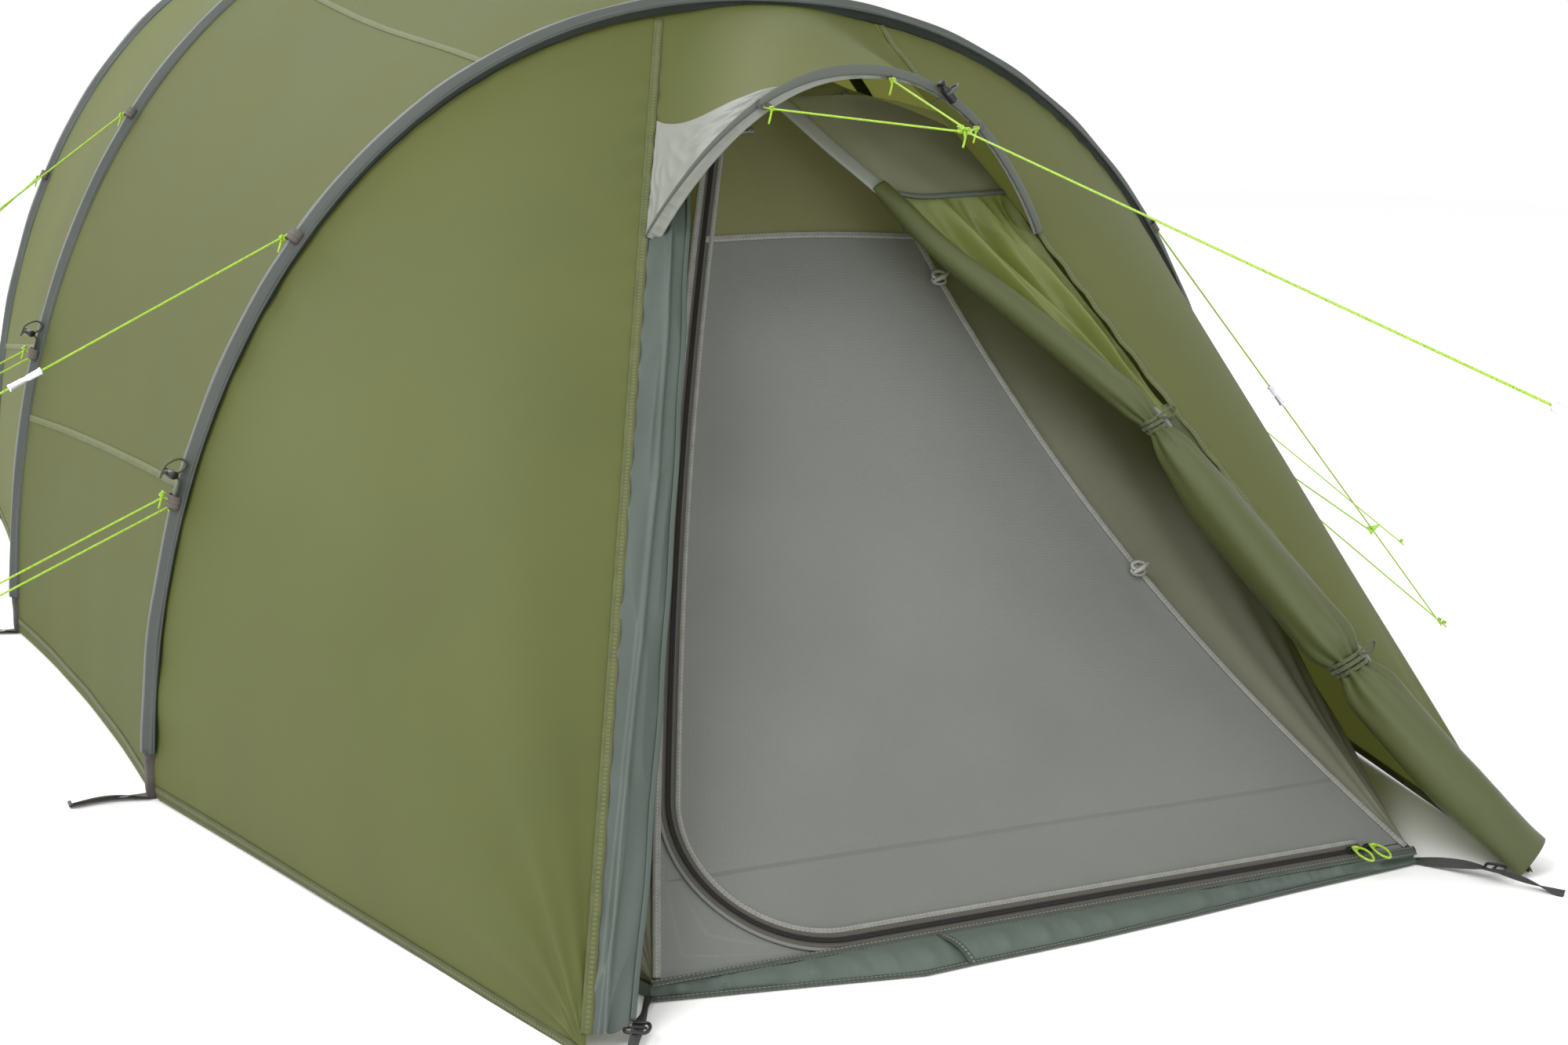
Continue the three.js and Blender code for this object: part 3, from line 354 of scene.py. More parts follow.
class Nodes:
    """Short names for making a material's nodes."""

    def __init__(self, name):
        self.material = bpy.data.materials.new(name)
        self.material.use_nodes = True
        self.tree = self.material.node_tree
        self.shader = self.tree.nodes["Principled BSDF"]
        self.output = self.tree.nodes["Material Output"]

    def node(self, kind, **settings):
        made = self.tree.nodes.new(kind)
        for key, value in settings.items():
            setattr(made, key, value)
        return made

    def join(self, source, target):
        self.tree.links.new(source, target)

    def uv(self):
        return self.node("ShaderNodeUVMap", uv_map="cloth").outputs["UV"]

    def place(self):
        return self.node("ShaderNodeTexCoord").outputs["Object"]

    def math(self, operation, a, b=0.0, c=0.0):
        made = self.node("ShaderNodeMath", operation=operation)
        for socket, value in zip(made.inputs, (a, b, c)):
            if isinstance(value, (int, float)):
                socket.default_value = value
            else:
                self.join(value, socket)
        return made.outputs[0]

    def noise(self, vector, scale, detail=3.0, rough=0.5):
        made = self.node("ShaderNodeTexNoise")
        made.inputs["Scale"].default_value = scale
        made.inputs["Detail"].default_value = detail
        made.inputs["Roughness"].default_value = rough
        self.join(vector, made.inputs["Vector"])
        return made.outputs["Fac"]

    def split(self, vector):
        made = self.node("ShaderNodeSeparateXYZ")
        self.join(vector, made.inputs[0])
        return made.outputs

    def lines(self, coordinate, pitch, share):
        """1 on thin lines every pitch metres, and 0 between them."""
        place = self.math("FRACT", self.math("MULTIPLY", coordinate, 1 / pitch))
        return self.math("LESS_THAN", place, share)

    def ramp(self, factor, low, high, start=0.3, end=0.7):
        made = self.node("ShaderNodeValToRGB")
        made.color_ramp.elements[0].position, made.color_ramp.elements[1].position = start, end
        made.color_ramp.elements[0].color = (*low, 1)
        made.color_ramp.elements[1].color = (*high, 1)
        self.join(factor, made.inputs[0])
        return made.outputs[0]

    def mix_colour(self, factor, a, b):
        made = self.node("ShaderNodeMix", data_type="RGBA")
        for socket, value in ((made.inputs[0], factor), (made.inputs[6], a), (made.inputs[7], b)):
            if isinstance(value, (int, float)):
                socket.default_value = value
            elif isinstance(value, tuple):
                socket.default_value = (*value, 1)
            else:
                self.join(value, socket)
        return made.outputs[2]

    def bump(self, height, distance, strength=1.0):
        made = self.node("ShaderNodeBump")
        made.inputs["Distance"].default_value = distance
        made.inputs["Strength"].default_value = strength
        self.join(height, made.inputs["Height"])
        self.join(made.outputs["Normal"], self.shader.inputs["Normal"])

    def translucent(self, colour, share):
        """Mixes in the light that comes through thin cloth from behind."""
        through = self.node("ShaderNodeBsdfTranslucent")
        through.inputs["Color"].default_value = (*colour, 1)
        mixed = self.node("ShaderNodeMixShader")
        mixed.inputs[0].default_value = share
        self.join(self.shader.outputs[0], mixed.inputs[1])
        self.join(through.outputs[0], mixed.inputs[2])
        self.join(mixed.outputs[0], self.output.inputs["Surface"])

    def see_through(self, open_share):
        """Holes of a netting, where open_share is a number or a socket."""
        clear = self.node("ShaderNodeBsdfTransparent")
        mixed = self.node("ShaderNodeMixShader")
        if isinstance(open_share, float):
            mixed.inputs[0].default_value = open_share
        else:
            self.join(open_share, mixed.inputs[0])
        self.join(self.shader.outputs[0], mixed.inputs[1])
        self.join(clear.outputs[0], mixed.inputs[2])
        self.join(mixed.outputs[0], self.output.inputs["Surface"])


def srgb(r, g, b):
    """A linear colour from 8-bit sRGB."""
    return tuple((c / 255 / 12.92) if c <= 10 else ((c / 255 + 0.055) / 1.055) ** 2.4 for c in (r, g, b))


def shade(colour, factor):
    return tuple(c * factor for c in colour)


def woven(name, colour, rough=0.6, sheen=0.1, weave=0.0006, bump=0.00006, through=None, ripstop=None,
          patches=0.06, coat=0.0, specular=0.5):
    """Cloth: a plain weave, soft patches of lighter and darker colour, and a ripstop grid if it has one."""
    n = Nodes(name)
    uv = n.uv()
    sides = n.split(uv)
    soft = n.noise(n.place(), 5.0, 4.0)
    base = n.ramp(soft, shade(colour, 1 - patches), shade(colour, 1 + patches))
    warp = n.math("SINE", n.math("MULTIPLY", sides[0], 2 * math.pi / weave))
    weft = n.math("SINE", n.math("MULTIPLY", sides[1], 2 * math.pi / weave))
    height = n.math("MULTIPLY", warp, weft)
    fine = n.noise(uv, 900.0, 2.0)
    base = n.mix_colour(n.math("MULTIPLY", fine, 0.16), base, shade(colour, 0.72))
    if ripstop:
        cross = n.math("MAXIMUM", n.lines(sides[0], ripstop, 0.16), n.lines(sides[1], ripstop, 0.16))
        base = n.mix_colour(n.math("MULTIPLY", cross, 0.16), base, shade(colour, 1.5))
        height = n.math("ADD", height, n.math("MULTIPLY", cross, 2.0))
    n.join(base, n.shader.inputs["Base Color"])
    uneven = n.node("ShaderNodeMapRange")
    uneven.inputs["To Min"].default_value, uneven.inputs["To Max"].default_value = rough - 0.07, rough + 0.07
    n.join(soft, uneven.inputs["Value"])
    n.join(uneven.outputs[0], n.shader.inputs["Roughness"])
    n.shader.inputs["Sheen Weight"].default_value = sheen
    n.shader.inputs["Specular IOR Level"].default_value = specular
    n.shader.inputs["Coat Weight"].default_value = coat
    n.shader.inputs["Coat Roughness"].default_value = 0.35
    n.bump(height, bump)
    if through:
        n.translucent(*through)
    return n.material


def stitched(name, colour, thread, rough=0.7, stitch=0.005, rows=(0.25, 0.75), width=0.012):
    """A tape or seam with rows of stitches along it. Along it is v, and round it is u."""
    n = Nodes(name)
    uv = n.uv()
    sides = n.split(uv)
    soft = n.noise(n.place(), 60.0, 3.0)
    base = n.ramp(soft, shade(colour, 0.85), shade(colour, 1.15))
    dash = n.math("LESS_THAN", n.math("FRACT", n.math("MULTIPLY", sides[1], 1 / stitch)), 0.62)
    row = None
    for place in rows:
        away = n.math("ABSOLUTE", n.math("SUBTRACT", sides[0], place * width))
        line = n.math("LESS_THAN", away, 0.0006)
        row = line if row is None else n.math("MAXIMUM", row, line)
    mark = n.math("MULTIPLY", dash, row)
    base = n.mix_colour(mark, base, thread)
    n.join(base, n.shader.inputs["Base Color"])
    n.shader.inputs["Roughness"].default_value = rough
    ribs = n.math("SINE", n.math("MULTIPLY", sides[1], 2 * math.pi / 0.0012))
    n.bump(n.math("ADD", n.math("MULTIPLY", mark, 2.0), n.math("MULTIPLY", ribs, 0.4)), 0.0002)
    return n.material


def ribbed(name, colour, pitch=0.0022, rough=0.8, depth=0.0004):
    """Woven webbing, with ribs across it; its colour is darker in the hollows between ribs and threads and
    lighter on their tops: painted shade and painted highlight.
    """
    n = Nodes(name)
    sides = n.split(n.uv())
    ribs = n.math("SINE", n.math("MULTIPLY", sides[1], 2 * math.pi / pitch))
    threads = n.math("SINE", n.math("MULTIPLY", sides[0], 2 * math.pi / 0.0014))
    height = n.math("ADD", ribs, n.math("MULTIPLY", threads, 0.5))
    # painted shade and highlight: the colour follows the weave's height, darker in its hollows and lighter on
    # its tops
    base = n.ramp(n.math("MULTIPLY_ADD", height, 0.3, 0.5), shade(colour, 0.6), shade(colour, 1.25), 0.1, 0.9)
    n.join(base, n.shader.inputs["Base Color"])
    n.shader.inputs["Roughness"].default_value = rough
    n.bump(height, depth)
    return n.material


def braided(name, colour, gap_shade):
    """Braided cord: two sets of strands that cross, lighter on the strands' tops and darker in the gaps
    between them: painted highlight and painted shade.
    """
    n = Nodes(name)
    place = n.place()
    strands = n.node("ShaderNodeTexVoronoi")
    strands.inputs["Scale"].default_value = 900.0
    n.join(place, strands.inputs["Vector"])
    # painted shade: the second colour lies in the gaps between strands, where the bump sinks, and the strand
    # tops are painted lighter
    base = n.ramp(strands.outputs["Distance"], shade(colour, 1.1), gap_shade, 0.1, 0.75)
    n.join(base, n.shader.inputs["Base Color"])
    n.shader.inputs["Roughness"].default_value = 0.55
    n.shader.inputs["Sheen Weight"].default_value = 0.2
    n.bump(strands.outputs["Distance"], -0.0004)
    return n.material


def netting(name, colour, pitch=0.0016, open_share=0.55):
    """Fine mesh: threads both ways and open between them, and even where it is too fine to see."""
    n = Nodes(name)
    sides = n.split(n.uv())
    soft = n.noise(n.place(), 6.0, 3.0)
    base = n.ramp(soft, shade(colour, 0.9), shade(colour, 1.1))
    n.join(base, n.shader.inputs["Base Color"])
    n.shader.inputs["Roughness"].default_value = 0.8
    thread = n.math("MAXIMUM", n.lines(sides[0], pitch, 0.3), n.lines(sides[1], pitch, 0.3))
    n.bump(thread, 0.0002)
    n.see_through(open_share)
    return n.material


def hard(name, colour, rough, metal=0.0, scale=300.0, wear=0.1, bump=0.00005):
    """Moulded plastic or metal with a fine grain and uneven gloss."""
    n = Nodes(name)
    grain = n.noise(n.place(), scale, 4.0)
    n.join(n.ramp(grain, shade(colour, 1 - wear), shade(colour, 1 + wear)), n.shader.inputs["Base Color"])
    uneven = n.node("ShaderNodeMapRange")
    uneven.inputs["To Min"].default_value, uneven.inputs["To Max"].default_value = rough - 0.06, rough + 0.08
    n.join(grain, uneven.inputs["Value"])
    n.join(uneven.outputs[0], n.shader.inputs["Roughness"])
    n.shader.inputs["Metallic"].default_value = metal
    n.bump(grain, bump)
    return n.material


OLIVE = srgb(98, 104, 55)
FLY = woven("flysheet_cloth", OLIVE, 0.6, 0.0, through=(srgb(176, 180, 92), 0.3), specular=0.22)
NOSE_FLY = woven("nose_flysheet_cloth", OLIVE, 0.55, 0.0, through=(srgb(140, 146, 66), 0.2), specular=0.3)
DOOR_FLY = woven("door_cloth", srgb(76, 84, 38), 0.4, 0.0, through=(srgb(140, 150, 70), 0.12), coat=0.2)
FLY_SEAM = stitched("flysheet_seam", srgb(82, 88, 48), srgb(98, 104, 60), width=0.011)
FLY_HEM = stitched("flysheet_hem", srgb(70, 76, 42), srgb(100, 106, 62), width=0.012)
SLEEVE = woven("sleeve_cloth", srgb(66, 72, 68), 0.5, 0.05, patches=0.1)
SLEEVE_EDGE_TAPE = stitched("sleeve_edge", srgb(70, 76, 71), srgb(84, 90, 82), width=0.006)
WEBBING = ribbed("foot_webbing", srgb(98, 92, 86))
STRAP = ribbed("corner_strap", srgb(70, 72, 70), 0.0016)
# A lighter copy of the door cloth for the pleated fan: painted light, as the fan lies in the brim's shade.
DOOR_FAN_PAINTED_LIGHT = woven("door_fan_cloth_painted_light", srgb(128, 137, 74), 0.34, 0.0, through=(srgb(190, 200, 108), 0.35), coat=0.35)
FLAP = woven("storm_flap_cloth", srgb(68, 80, 72), 0.36, 0.0, patches=0.12, coat=0.4)
BRIM = woven("brim_cloth", srgb(136, 139, 130), 0.42, 0.0, patches=0.1, coat=0.2)
BRIM_EDGE = woven("brim_edge_cloth", srgb(80, 86, 78), 0.5, 0.0, patches=0.08)
INNER = woven("inner_cloth", srgb(126, 128, 124), 0.5, 0.0, ripstop=0.0046,
              through=(srgb(150, 150, 138), 0.2))
# A lighter, yellower copy of the inner cloth for the side walls, ceiling and back: painted light standing in
# for light that comes through the fly.
INNER_PAINTED_LIGHT = woven("inner_cloth_painted_light", srgb(150, 150, 130), 0.6, 0.0, ripstop=0.0046,
                   through=(srgb(186, 186, 156), 0.45))
PIPING = stitched("inner_binding", srgb(124, 125, 119), srgb(150, 151, 144), width=0.007)
TUB = woven("groundsheet_cloth", srgb(76, 89, 81), 0.4, 0.05, patches=0.12, coat=0.3)
TUB_SEAM = stitched("groundsheet_seam", srgb(60, 66, 60), srgb(110, 116, 104), width=0.009)
ZIP_TAPE = ribbed("zip_tape", srgb(86, 83, 76), 0.0012, 0.8, 0.0002)
ZIP_COIL = ribbed("zip_coil", srgb(46, 45, 42), 0.0017, 0.45, 0.0006)
NET = netting("inner_netting", srgb(146, 146, 110), open_share=0.55)
VENT_NET = netting("vent_netting", srgb(148, 150, 124), open_share=0.42)
# The second colour of each cord is the painted shade in the gaps between its strands.
LIME = braided("guy_cord", srgb(186, 226, 40), srgb(120, 160, 10))
OLIVE_CORD = braided("olive_cord", srgb(84, 92, 50), srgb(50, 56, 28))
GREY_CORD = braided("grey_cord", srgb(178, 180, 172), srgb(130, 130, 124))
SILVER = hard("runner_silver", srgb(226, 226, 234), 0.3, 0.55)
ALUMINIUM = hard("pole_aluminium", srgb(190, 192, 198), 0.32, 0.9)
BLACK = hard("black_plastic", srgb(28, 28, 28), 0.42, scale=500.0, wear=0.3)
GREY_PLASTIC = hard("grey_plastic", srgb(120, 124, 120), 0.5, scale=500.0)
PLATE_LIME = hard("lime_plate", srgb(150, 205, 20), 0.4, scale=400.0)

# ---------------------------------------------------------------- guy lines

LEFT, RIGHT = -1, 1
GUY_OFFSET = SLEEVE_DEPTH / 2 + GUY_DIAMETER + 0.0004
LOOP_RADIUS = 0.007
KNOT = np.array([0.0, -0.537, 0.859])


def sleeve_point(hoop, side, z):
    """Where a guy line is tied: just outside the hoop's sleeve, at the height z."""
    angle = angle_at_height(hoop[2], z)
    along = hoop_point(hoop, angle + 0.01) - hoop_point(hoop, angle - 0.01)
    outward = unit(np.array([-along[2], 0.0, along[0]]))
    point = hoop_point(hoop, angle) + outward * GUY_OFFSET
    return point * mirrored(side)


def nose_corner(side):
    return np.array([side * NOSE_HALF_WIDTH, -NOSE_LENGTH, HEM_HEIGHT])


def nose_seam(side, share):
    """The seam along the top of the nose's side panel, from the hoop (share 0) to the peg (share 1)."""
    top = hoop_point(FRONT, angle_at_side(FRONT[1], SEAM_HALF_GAP)) * mirrored(side)
    return mix(top, nose_corner(side), share)


BRIM_END = nose_seam(RIGHT, BRIM_SHARE)


def brim_point(share, inset=0.0):
    """The hood's front edge, an arch from seam to seam."""
    angle = math.pi * (np.asarray(share, float) - 0.5)
    lift = np.clip(np.cos(angle), 0, None) ** BRIM_TOP_POWER
    side = squared(np.sin(angle), BRIM_SIDE_POWER)
    y = BRIM_END[1] + (-BRIM_REACH - BRIM_END[1]) * lift
    return pt((BRIM_END[0] - inset) * side, y, BRIM_END[2] + (BRIM_RISE - inset) * lift)


def brim_tie(share):
    return brim_point(share) + np.array([0, -0.0056, -0.004])


def curve_of(name, points, diameter):
    data = bpy.data.curves.new(name, "CURVE")
    data.dimensions = "3D"
    data.bevel_depth, data.bevel_resolution = diameter / 2, 2
    data.use_fill_caps = True
    line = data.splines.new("POLY")
    line.points.add(len(points) - 1)
    for point, place in zip(line.points, points + TO_ROW):
        point.co = (*place, 1)
    return data


def knot_parts(place, along, size=0.0036, tails=1):
    """An overhand knot pulled tight, with the cord's cut ends."""
    turn = np.linspace(0, 2 * math.pi, 60)
    shape = pt(np.sin(turn) + 2 * np.sin(2 * turn), np.cos(turn) - 2 * np.cos(2 * turn),
               -1.3 * np.sin(3 * turn))
    along = unit(np.asarray(along, float))
    side = unit(np.cross(along, [0.1, 0.2, 1.0]))
    up = np.cross(side, along)
    basis = np.stack([side, up, along])
    on_ground = place[2] < 0.03
    place = place + np.array([0, 0, 0.005]) * on_ground
    parts = [tube_part(place + shape * size / 3 @ basis, GUY_DIAMETER / 2, 8)]
    for i in range(tails):
        drop = np.array([[0, 0, 0], [-0.003 + 0.006 * i, -0.003, -0.009],
                         [-0.006 + 0.01 * i, -0.004, -0.018]])
        drop[:, 2] *= 0.1 if on_ground else 1.0
        parts.append(tube_part(place + spline(drop, 10), GUY_DIAMETER / 2, 8))
    return parts


def straight(points, spacing=0.05):
    """The points of a line pulled straight between the places that it is led through."""
    stops = [np.asarray(points[0], float)]
    for a, b in zip(points[:-1], points[1:]):
        parts = max(1, round(float(np.linalg.norm(np.subtract(b, a))) / spacing))
        stops += [mix(a, b, k / parts) for k in range(1, parts + 1)]
    return np.array(stops)


def make_guy(name, points, far_end="knot", replaces=()):
    line = straight(points)
    piece = link(name, curve_of(name, line, GUY_DIAMETER), LIME, replaces=replaces)
    along = line[1] - line[0]
    knots = knot_parts(line[0] + unit(along) * 0.012, along)
    if far_end == "knot":
        knots += knot_parts(line[-1] - unit(line[-1] - line[-2]) * 0.008, along, tails=1)
    tie = draw(name + "_knots", knots, LIME)
    return line


def both_legs(ring, far_top, far_low):
    """A doubled line's two legs, which meet where the line turns round inside its ring."""
    away = unit(mix(far_top, far_low, 0.5) - ring)
    centre = ring + away * LOOP_RADIUS
    up = unit(np.array([0.0, 0.0, 1.0]) - away * away[2])
    legs = []
    for sign, far in ((1, far_top), (-1, far_low)):
        turn = [centre + up * sign * LOOP_RADIUS * math.cos(a) - away * LOOP_RADIUS * math.sin(a)
                for a in np.linspace(math.pi / 2, 0, 4)]
        legs.append([*turn, np.asarray(far, float)])
    return legs


RIGHT_PEG = np.array([1.366, 0.066, 0.004])
RIGHT_FRONT = [sleeve_point(FRONT, RIGHT, 0.705), RIGHT_PEG]
PLATE_SHARE = 0.732
LEFT_FRONT = [sleeve_point(FRONT, LEFT, 0.705), np.array([-1.062, 0.0, 0.497])]
NOSE_END = np.array([0.0, -1.560, 0.648])


def tensioner(name, line, share, body):
    """A line runner: a tube with a rolled collar at each end and a turned waist."""
    near_end, far_end = np.asarray(line[0]), np.asarray(line[1])
    along = unit(far_end - near_end)
    middle = mix(near_end, far_end, share)
    profile = [(-0.022, 0.0019), (-0.022, 0.0040), (-0.0212, 0.0047), (-0.0195, 0.0047), (-0.0188, 0.0041)]
    profile += [(-0.004, 0.0039), (-0.003, 0.0034), (0.003, 0.0034), (0.004, 0.0039), (0.0188, 0.0041)]
    profile += [(0.0195, 0.0047), (0.0212, 0.0047), (0.022, 0.0040), (0.022, 0.0019)]
    side = unit(np.cross(along, [0.0, 0.0, 1.0]))
    up = np.cross(side, along)
    turn = np.linspace(0, 2 * math.pi, 24, endpoint=False)[:, None]
    around = np.cos(turn) * side + np.sin(turn) * up
    rings = np.array([middle + along * z + around * r for z, r in profile])
    vertices, quads, uv = ring_part(rings, caps=False)
    last = (len(profile) - 1) * 24
    quads += [[i, last + i, last + (i + 1) % 24, (i + 1) % 24] for i in range(24)]
    return link(name + "_tube", mesh_of(name, [(vertices, quads, uv)]), SILVER, body, [name])


def make_guys():
    left_runner = tensioner("left_guy_runner", LEFT_FRONT, 0.79, "left_runner")
    right_runner = tensioner("right_guy_runner", RIGHT_FRONT, 0.39, "right_runner")
    nose_runner = tensioner("nose_guy_runner", [KNOT, NOSE_END], 0.912, "nose_runner")
    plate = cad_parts["right_guy_plate"]
    plate.data.materials.clear()
    plate.data.materials.append(PLATE_LIME)
    make_guy("left_front_upper_line", LEFT_FRONT, replaces=["left_front_upper_guy"])
    make_guy("right_front_upper_line", RIGHT_FRONT, replaces=["right_front_upper_guy"])
    make_guy("left_middle_upper_line", [sleeve_point(MIDDLE, LEFT, 0.840), (-0.930, 0.920, 0.672)],
             replaces=["left_middle_upper_guy"])
    make_guy("left_rear_upper_line", [sleeve_point(REAR, LEFT, 0.700), (-0.835, 1.900, 0.606)],
             replaces=["left_rear_upper_guy"])
    make_guy("right_middle_upper_line", [sleeve_point(MIDDLE, RIGHT, 0.840), (1.780, 0.620, 0.004)],
             replaces=["right_middle_upper_guy"])
    doubled = {
        "left_front_lower": (FRONT, LEFT, 0.380, (-1.062, 0.0, 0.274), (-1.062, 0.0, 0.259)),
        "left_middle_lower": (MIDDLE, LEFT, 0.458, (-0.945, 0.920, 0.431), (-0.945, 0.920, 0.416)),
    }
    for name, (hoop, side, z, far_top, far_low) in doubled.items():
        top, low = both_legs(sleeve_point(hoop, side, z), far_top, far_low)
        make_guy(name + "_line", top, replaces=[name + "_guy"])
        make_guy(name + "_line_back", low)
    near_end, far_end = RIGHT_FRONT
    along = unit(far_end - near_end)
    plate_end = mix(near_end, far_end, PLATE_SHARE) - along * 0.013 - np.array([0, 0, 0.0087])
    ring = sleeve_point(FRONT, RIGHT, 0.380)
    top, low = both_legs(ring, plate_end, RIGHT_PEG - np.array([0, 0.012, 0]))
    make_guy("right_front_lower_line", top, "object", replaces=["right_front_lower_guy"])
    make_guy("right_front_lower_line_back", low)
    make_guy("nose_line", [brim_tie(BRIM_TIES[2]), KNOT, NOSE_END], replaces=["nose_guy"])
    make_guy("left_bridle_line", [brim_tie(BRIM_TIES[0]), KNOT + np.array([-0.004, 0.004, 0])], "object",
             replaces=["left_bridle_guy"])
    make_guy("centre_bridle_line", [brim_tie(BRIM_TIES[1]), KNOT + np.array([0, 0.004, 0.004])], "object",
             replaces=["centre_bridle_guy"])
    gather = knot_parts(KNOT, [0, -1, -0.2], 0.006)
    gather += knot_parts(KNOT + np.array([0, 0.013, 0.003]), [1, 0, 0], 0.0045, 0)
    draw("bridle_knot", gather, LIME)


make_guys()

# ---------------------------------------------------------------- flysheet between the hoops

# Arch angles of a bay's seams, at its near and its far hoop.
ROOF_SEAM, SIDE_SEAM = (1.13, 1.06), (0.38, 0.28)


def bay_point(near_hoop, far_hoop, angle, share):
    share = np.asarray(share, float)
    slack = BAY_SAG * 4 * share * (1 - share)
    width = near_hoop[1] + (far_hoop[1] - near_hoop[1]) * share - 2 * slack
    height = near_hoop[2] + (far_hoop[2] - near_hoop[2]) * share - slack
    edge = UNDER_SLEEVE
    y = near_hoop[0] + edge + (far_hoop[0] - near_hoop[0] - 2 * edge) * share
    return arch(width, height, y, angle)


def bay_cloth(near_hoop, far_hoop, seed):
    hem = angle_at_height(min(near_hoop[2], far_hoop[2]) - BAY_SAG, HEM_HEIGHT)

    def base(u, v):
        return bay_point(near_hoop, far_hoop, hem + (math.pi - 2 * hem) * np.asarray(u, float), v)

    def wrinkle(u, v):
        broad = 0.0030 * waves(u, v, seed, 6, (1.0, 4.0), (0.2, 1.4)) * inner_mask(v)
        feet = np.exp(-np.minimum(u, 1 - u) / 0.06)
        pulls = 0.0016 * feet * waves(u, v, seed + 2, 5, (0.5, 2.0), (1.5, 4.0)) * inner_mask(v)
        return (broad + pulls) * (1 - 0.9 * np.exp(-np.minimum(u, 1 - u) / 0.02))

    return Cloth(base, wrinkle), hem


def seam_u(hem, angle):
    return (angle - hem) / (math.pi - 2 * hem)


def make_bay(name, near_hoop, far_hoop, seed):
    cloth, hem = bay_cloth(near_hoop, far_hoop, seed)
    nodes = [f"{name}_{part}_panel" for part in ("left", "roof", "right")]
    sheet = link(name + "_flysheet", mesh_of(name, [cloth.part(260, 90)]), FLY,
                 replaces=nodes)
    along = np.linspace(0.004, 0.996, 90)
    seams = []
    for from_angle, to_angle in (SIDE_SEAM, ROOF_SEAM):
        place = seam_u(hem, from_angle + (to_angle - from_angle) * along)
        seams += [cloth.band(side_place, along, 0.011, 0.0012) for side_place in (place, 1 - place)]
    seam = draw(name + "_seams", seams, FLY_SEAM)
    hems = [cloth.band(0.004 if side < 0 else 0.996, along, 0.012, 0.0016) for side in (LEFT, RIGHT)]
    hem_piece = draw(name + "_hems", hems, FLY_HEM)
    angles = np.linspace(0, math.pi, 200)
    middle = mix(hoop_point(near_hoop, angles), hoop_point(far_hoop, angles), 0.5)


make_bay("front_bay", FRONT, MIDDLE, 11)
make_bay("rear_bay", MIDDLE, REAR, 23)

# ---------------------------------------------------------------- sloping ends


def end_cone(hoop, corner, side, seed):
    """The cloth from a hoop to one pegged corner: u runs up the hoop and v from the corner to the hoop."""
    low = angle_at_height(hoop[2], HEM_HEIGHT)
    high = angle_at_side(hoop[1], SEAM_HALF_GAP)
    reach = 1 - UNDER_SLEEVE / abs(corner[1] - hoop[0])
    mirror = mirrored(side)

    def base(u, v):
        rim = hoop_point(hoop, low + (high - low) * np.asarray(u, float)) * mirror
        return mix(corner, rim, reach * (0.004 + 0.996 * np.asarray(v, float)))

    def wrinkle(u, v):
        broad = 0.004 * waves(u, v, seed, 6, (0.6, 2.6), (0.5, 2.0)) * inner_mask(v) * inner_mask(u)
        pucker = np.exp(-v / 0.10) * inner_mask(v, 1.0) * 4
        pulls = 0.012 * pucker * np.sin(2 * math.pi * 5 * u + 9 * v) * inner_mask(u, 0.3) * 0.25
        foot = 0.0018 * np.exp(-(u / 0.14) ** 2) * near(v, 1.0, 0.10) * np.sin(2 * math.pi * 14 * u)
        seam = 0.0014 * waves(u, v, seed + 3, 5, (0.0, 0.6), (14.0, 30.0)) * near(u, 1, 0.03)
        hoop_side = 0.0005 * waves(u, v, seed + 4, 5, (14.0, 30.0), (0.0, 0.6)) * near(v, 1, 0.06)
        return broad + pulls + foot + seam + hoop_side

    return Cloth(base, wrinkle, inside=(0.0, hoop[0] + (0.3 if hoop is FRONT else -0.3), 0.1))


def make_cone(name, hoop, corner, side, seed, node):
    cloth = end_cone(hoop, corner, side, seed)
    cover = NOSE_FLY if hoop is FRONT else FLY
    sheet = draw(name, [cloth.part(170, 150)], cover, replaces=[node])
    v = np.linspace(0.01, 0.998, 120)
    seam = draw(name + "_seam", [cloth.band(0.994, v, 0.012, 0.0016)], FLY_SEAM)
    hem = draw(name + "_hem", [cloth.band(0.007, v, 0.011, 0.0018)], FLY_HEM)
    tall = float(np.linalg.norm(corner - hoop_point(hoop, 1.2) * mirrored(side)))
    area = float(sheet_area(cloth.grid(60, 60)))
    rim = cloth.base(np.linspace(0, 1, 100), np.ones(100))


def sheet_area(grid):
    a = grid[1:, :-1] - grid[:-1, :-1]
    b = grid[:-1, 1:] - grid[:-1, :-1]
    return np.linalg.norm(np.cross(a, b), axis=-1).sum()


def tail_corner(side):
    return np.array([side * TAIL_HALF_WIDTH, REAR[0] + TAIL_LENGTH, HEM_HEIGHT])


for end, hoop, corner_of, pole, seeds in (("nose", FRONT, nose_corner, "front_pole", (31, 37)),
                                          ("tail", REAR, tail_corner, "rear_pole", (41, 43))):
    for side_name, side, seed in (("left", LEFT, seeds[0]), ("right", RIGHT, seeds[1])):
        make_cone(f"{end}_{side_name}_flysheet", hoop, corner_of(side), side, seed,
                  f"{end}_{side_name}_panel")


def tail_seam(side, share):
    top = hoop_point(REAR, angle_at_side(REAR[1], SEAM_HALF_GAP)) * mirrored(side)
    return mix(top, tail_corner(side), share)


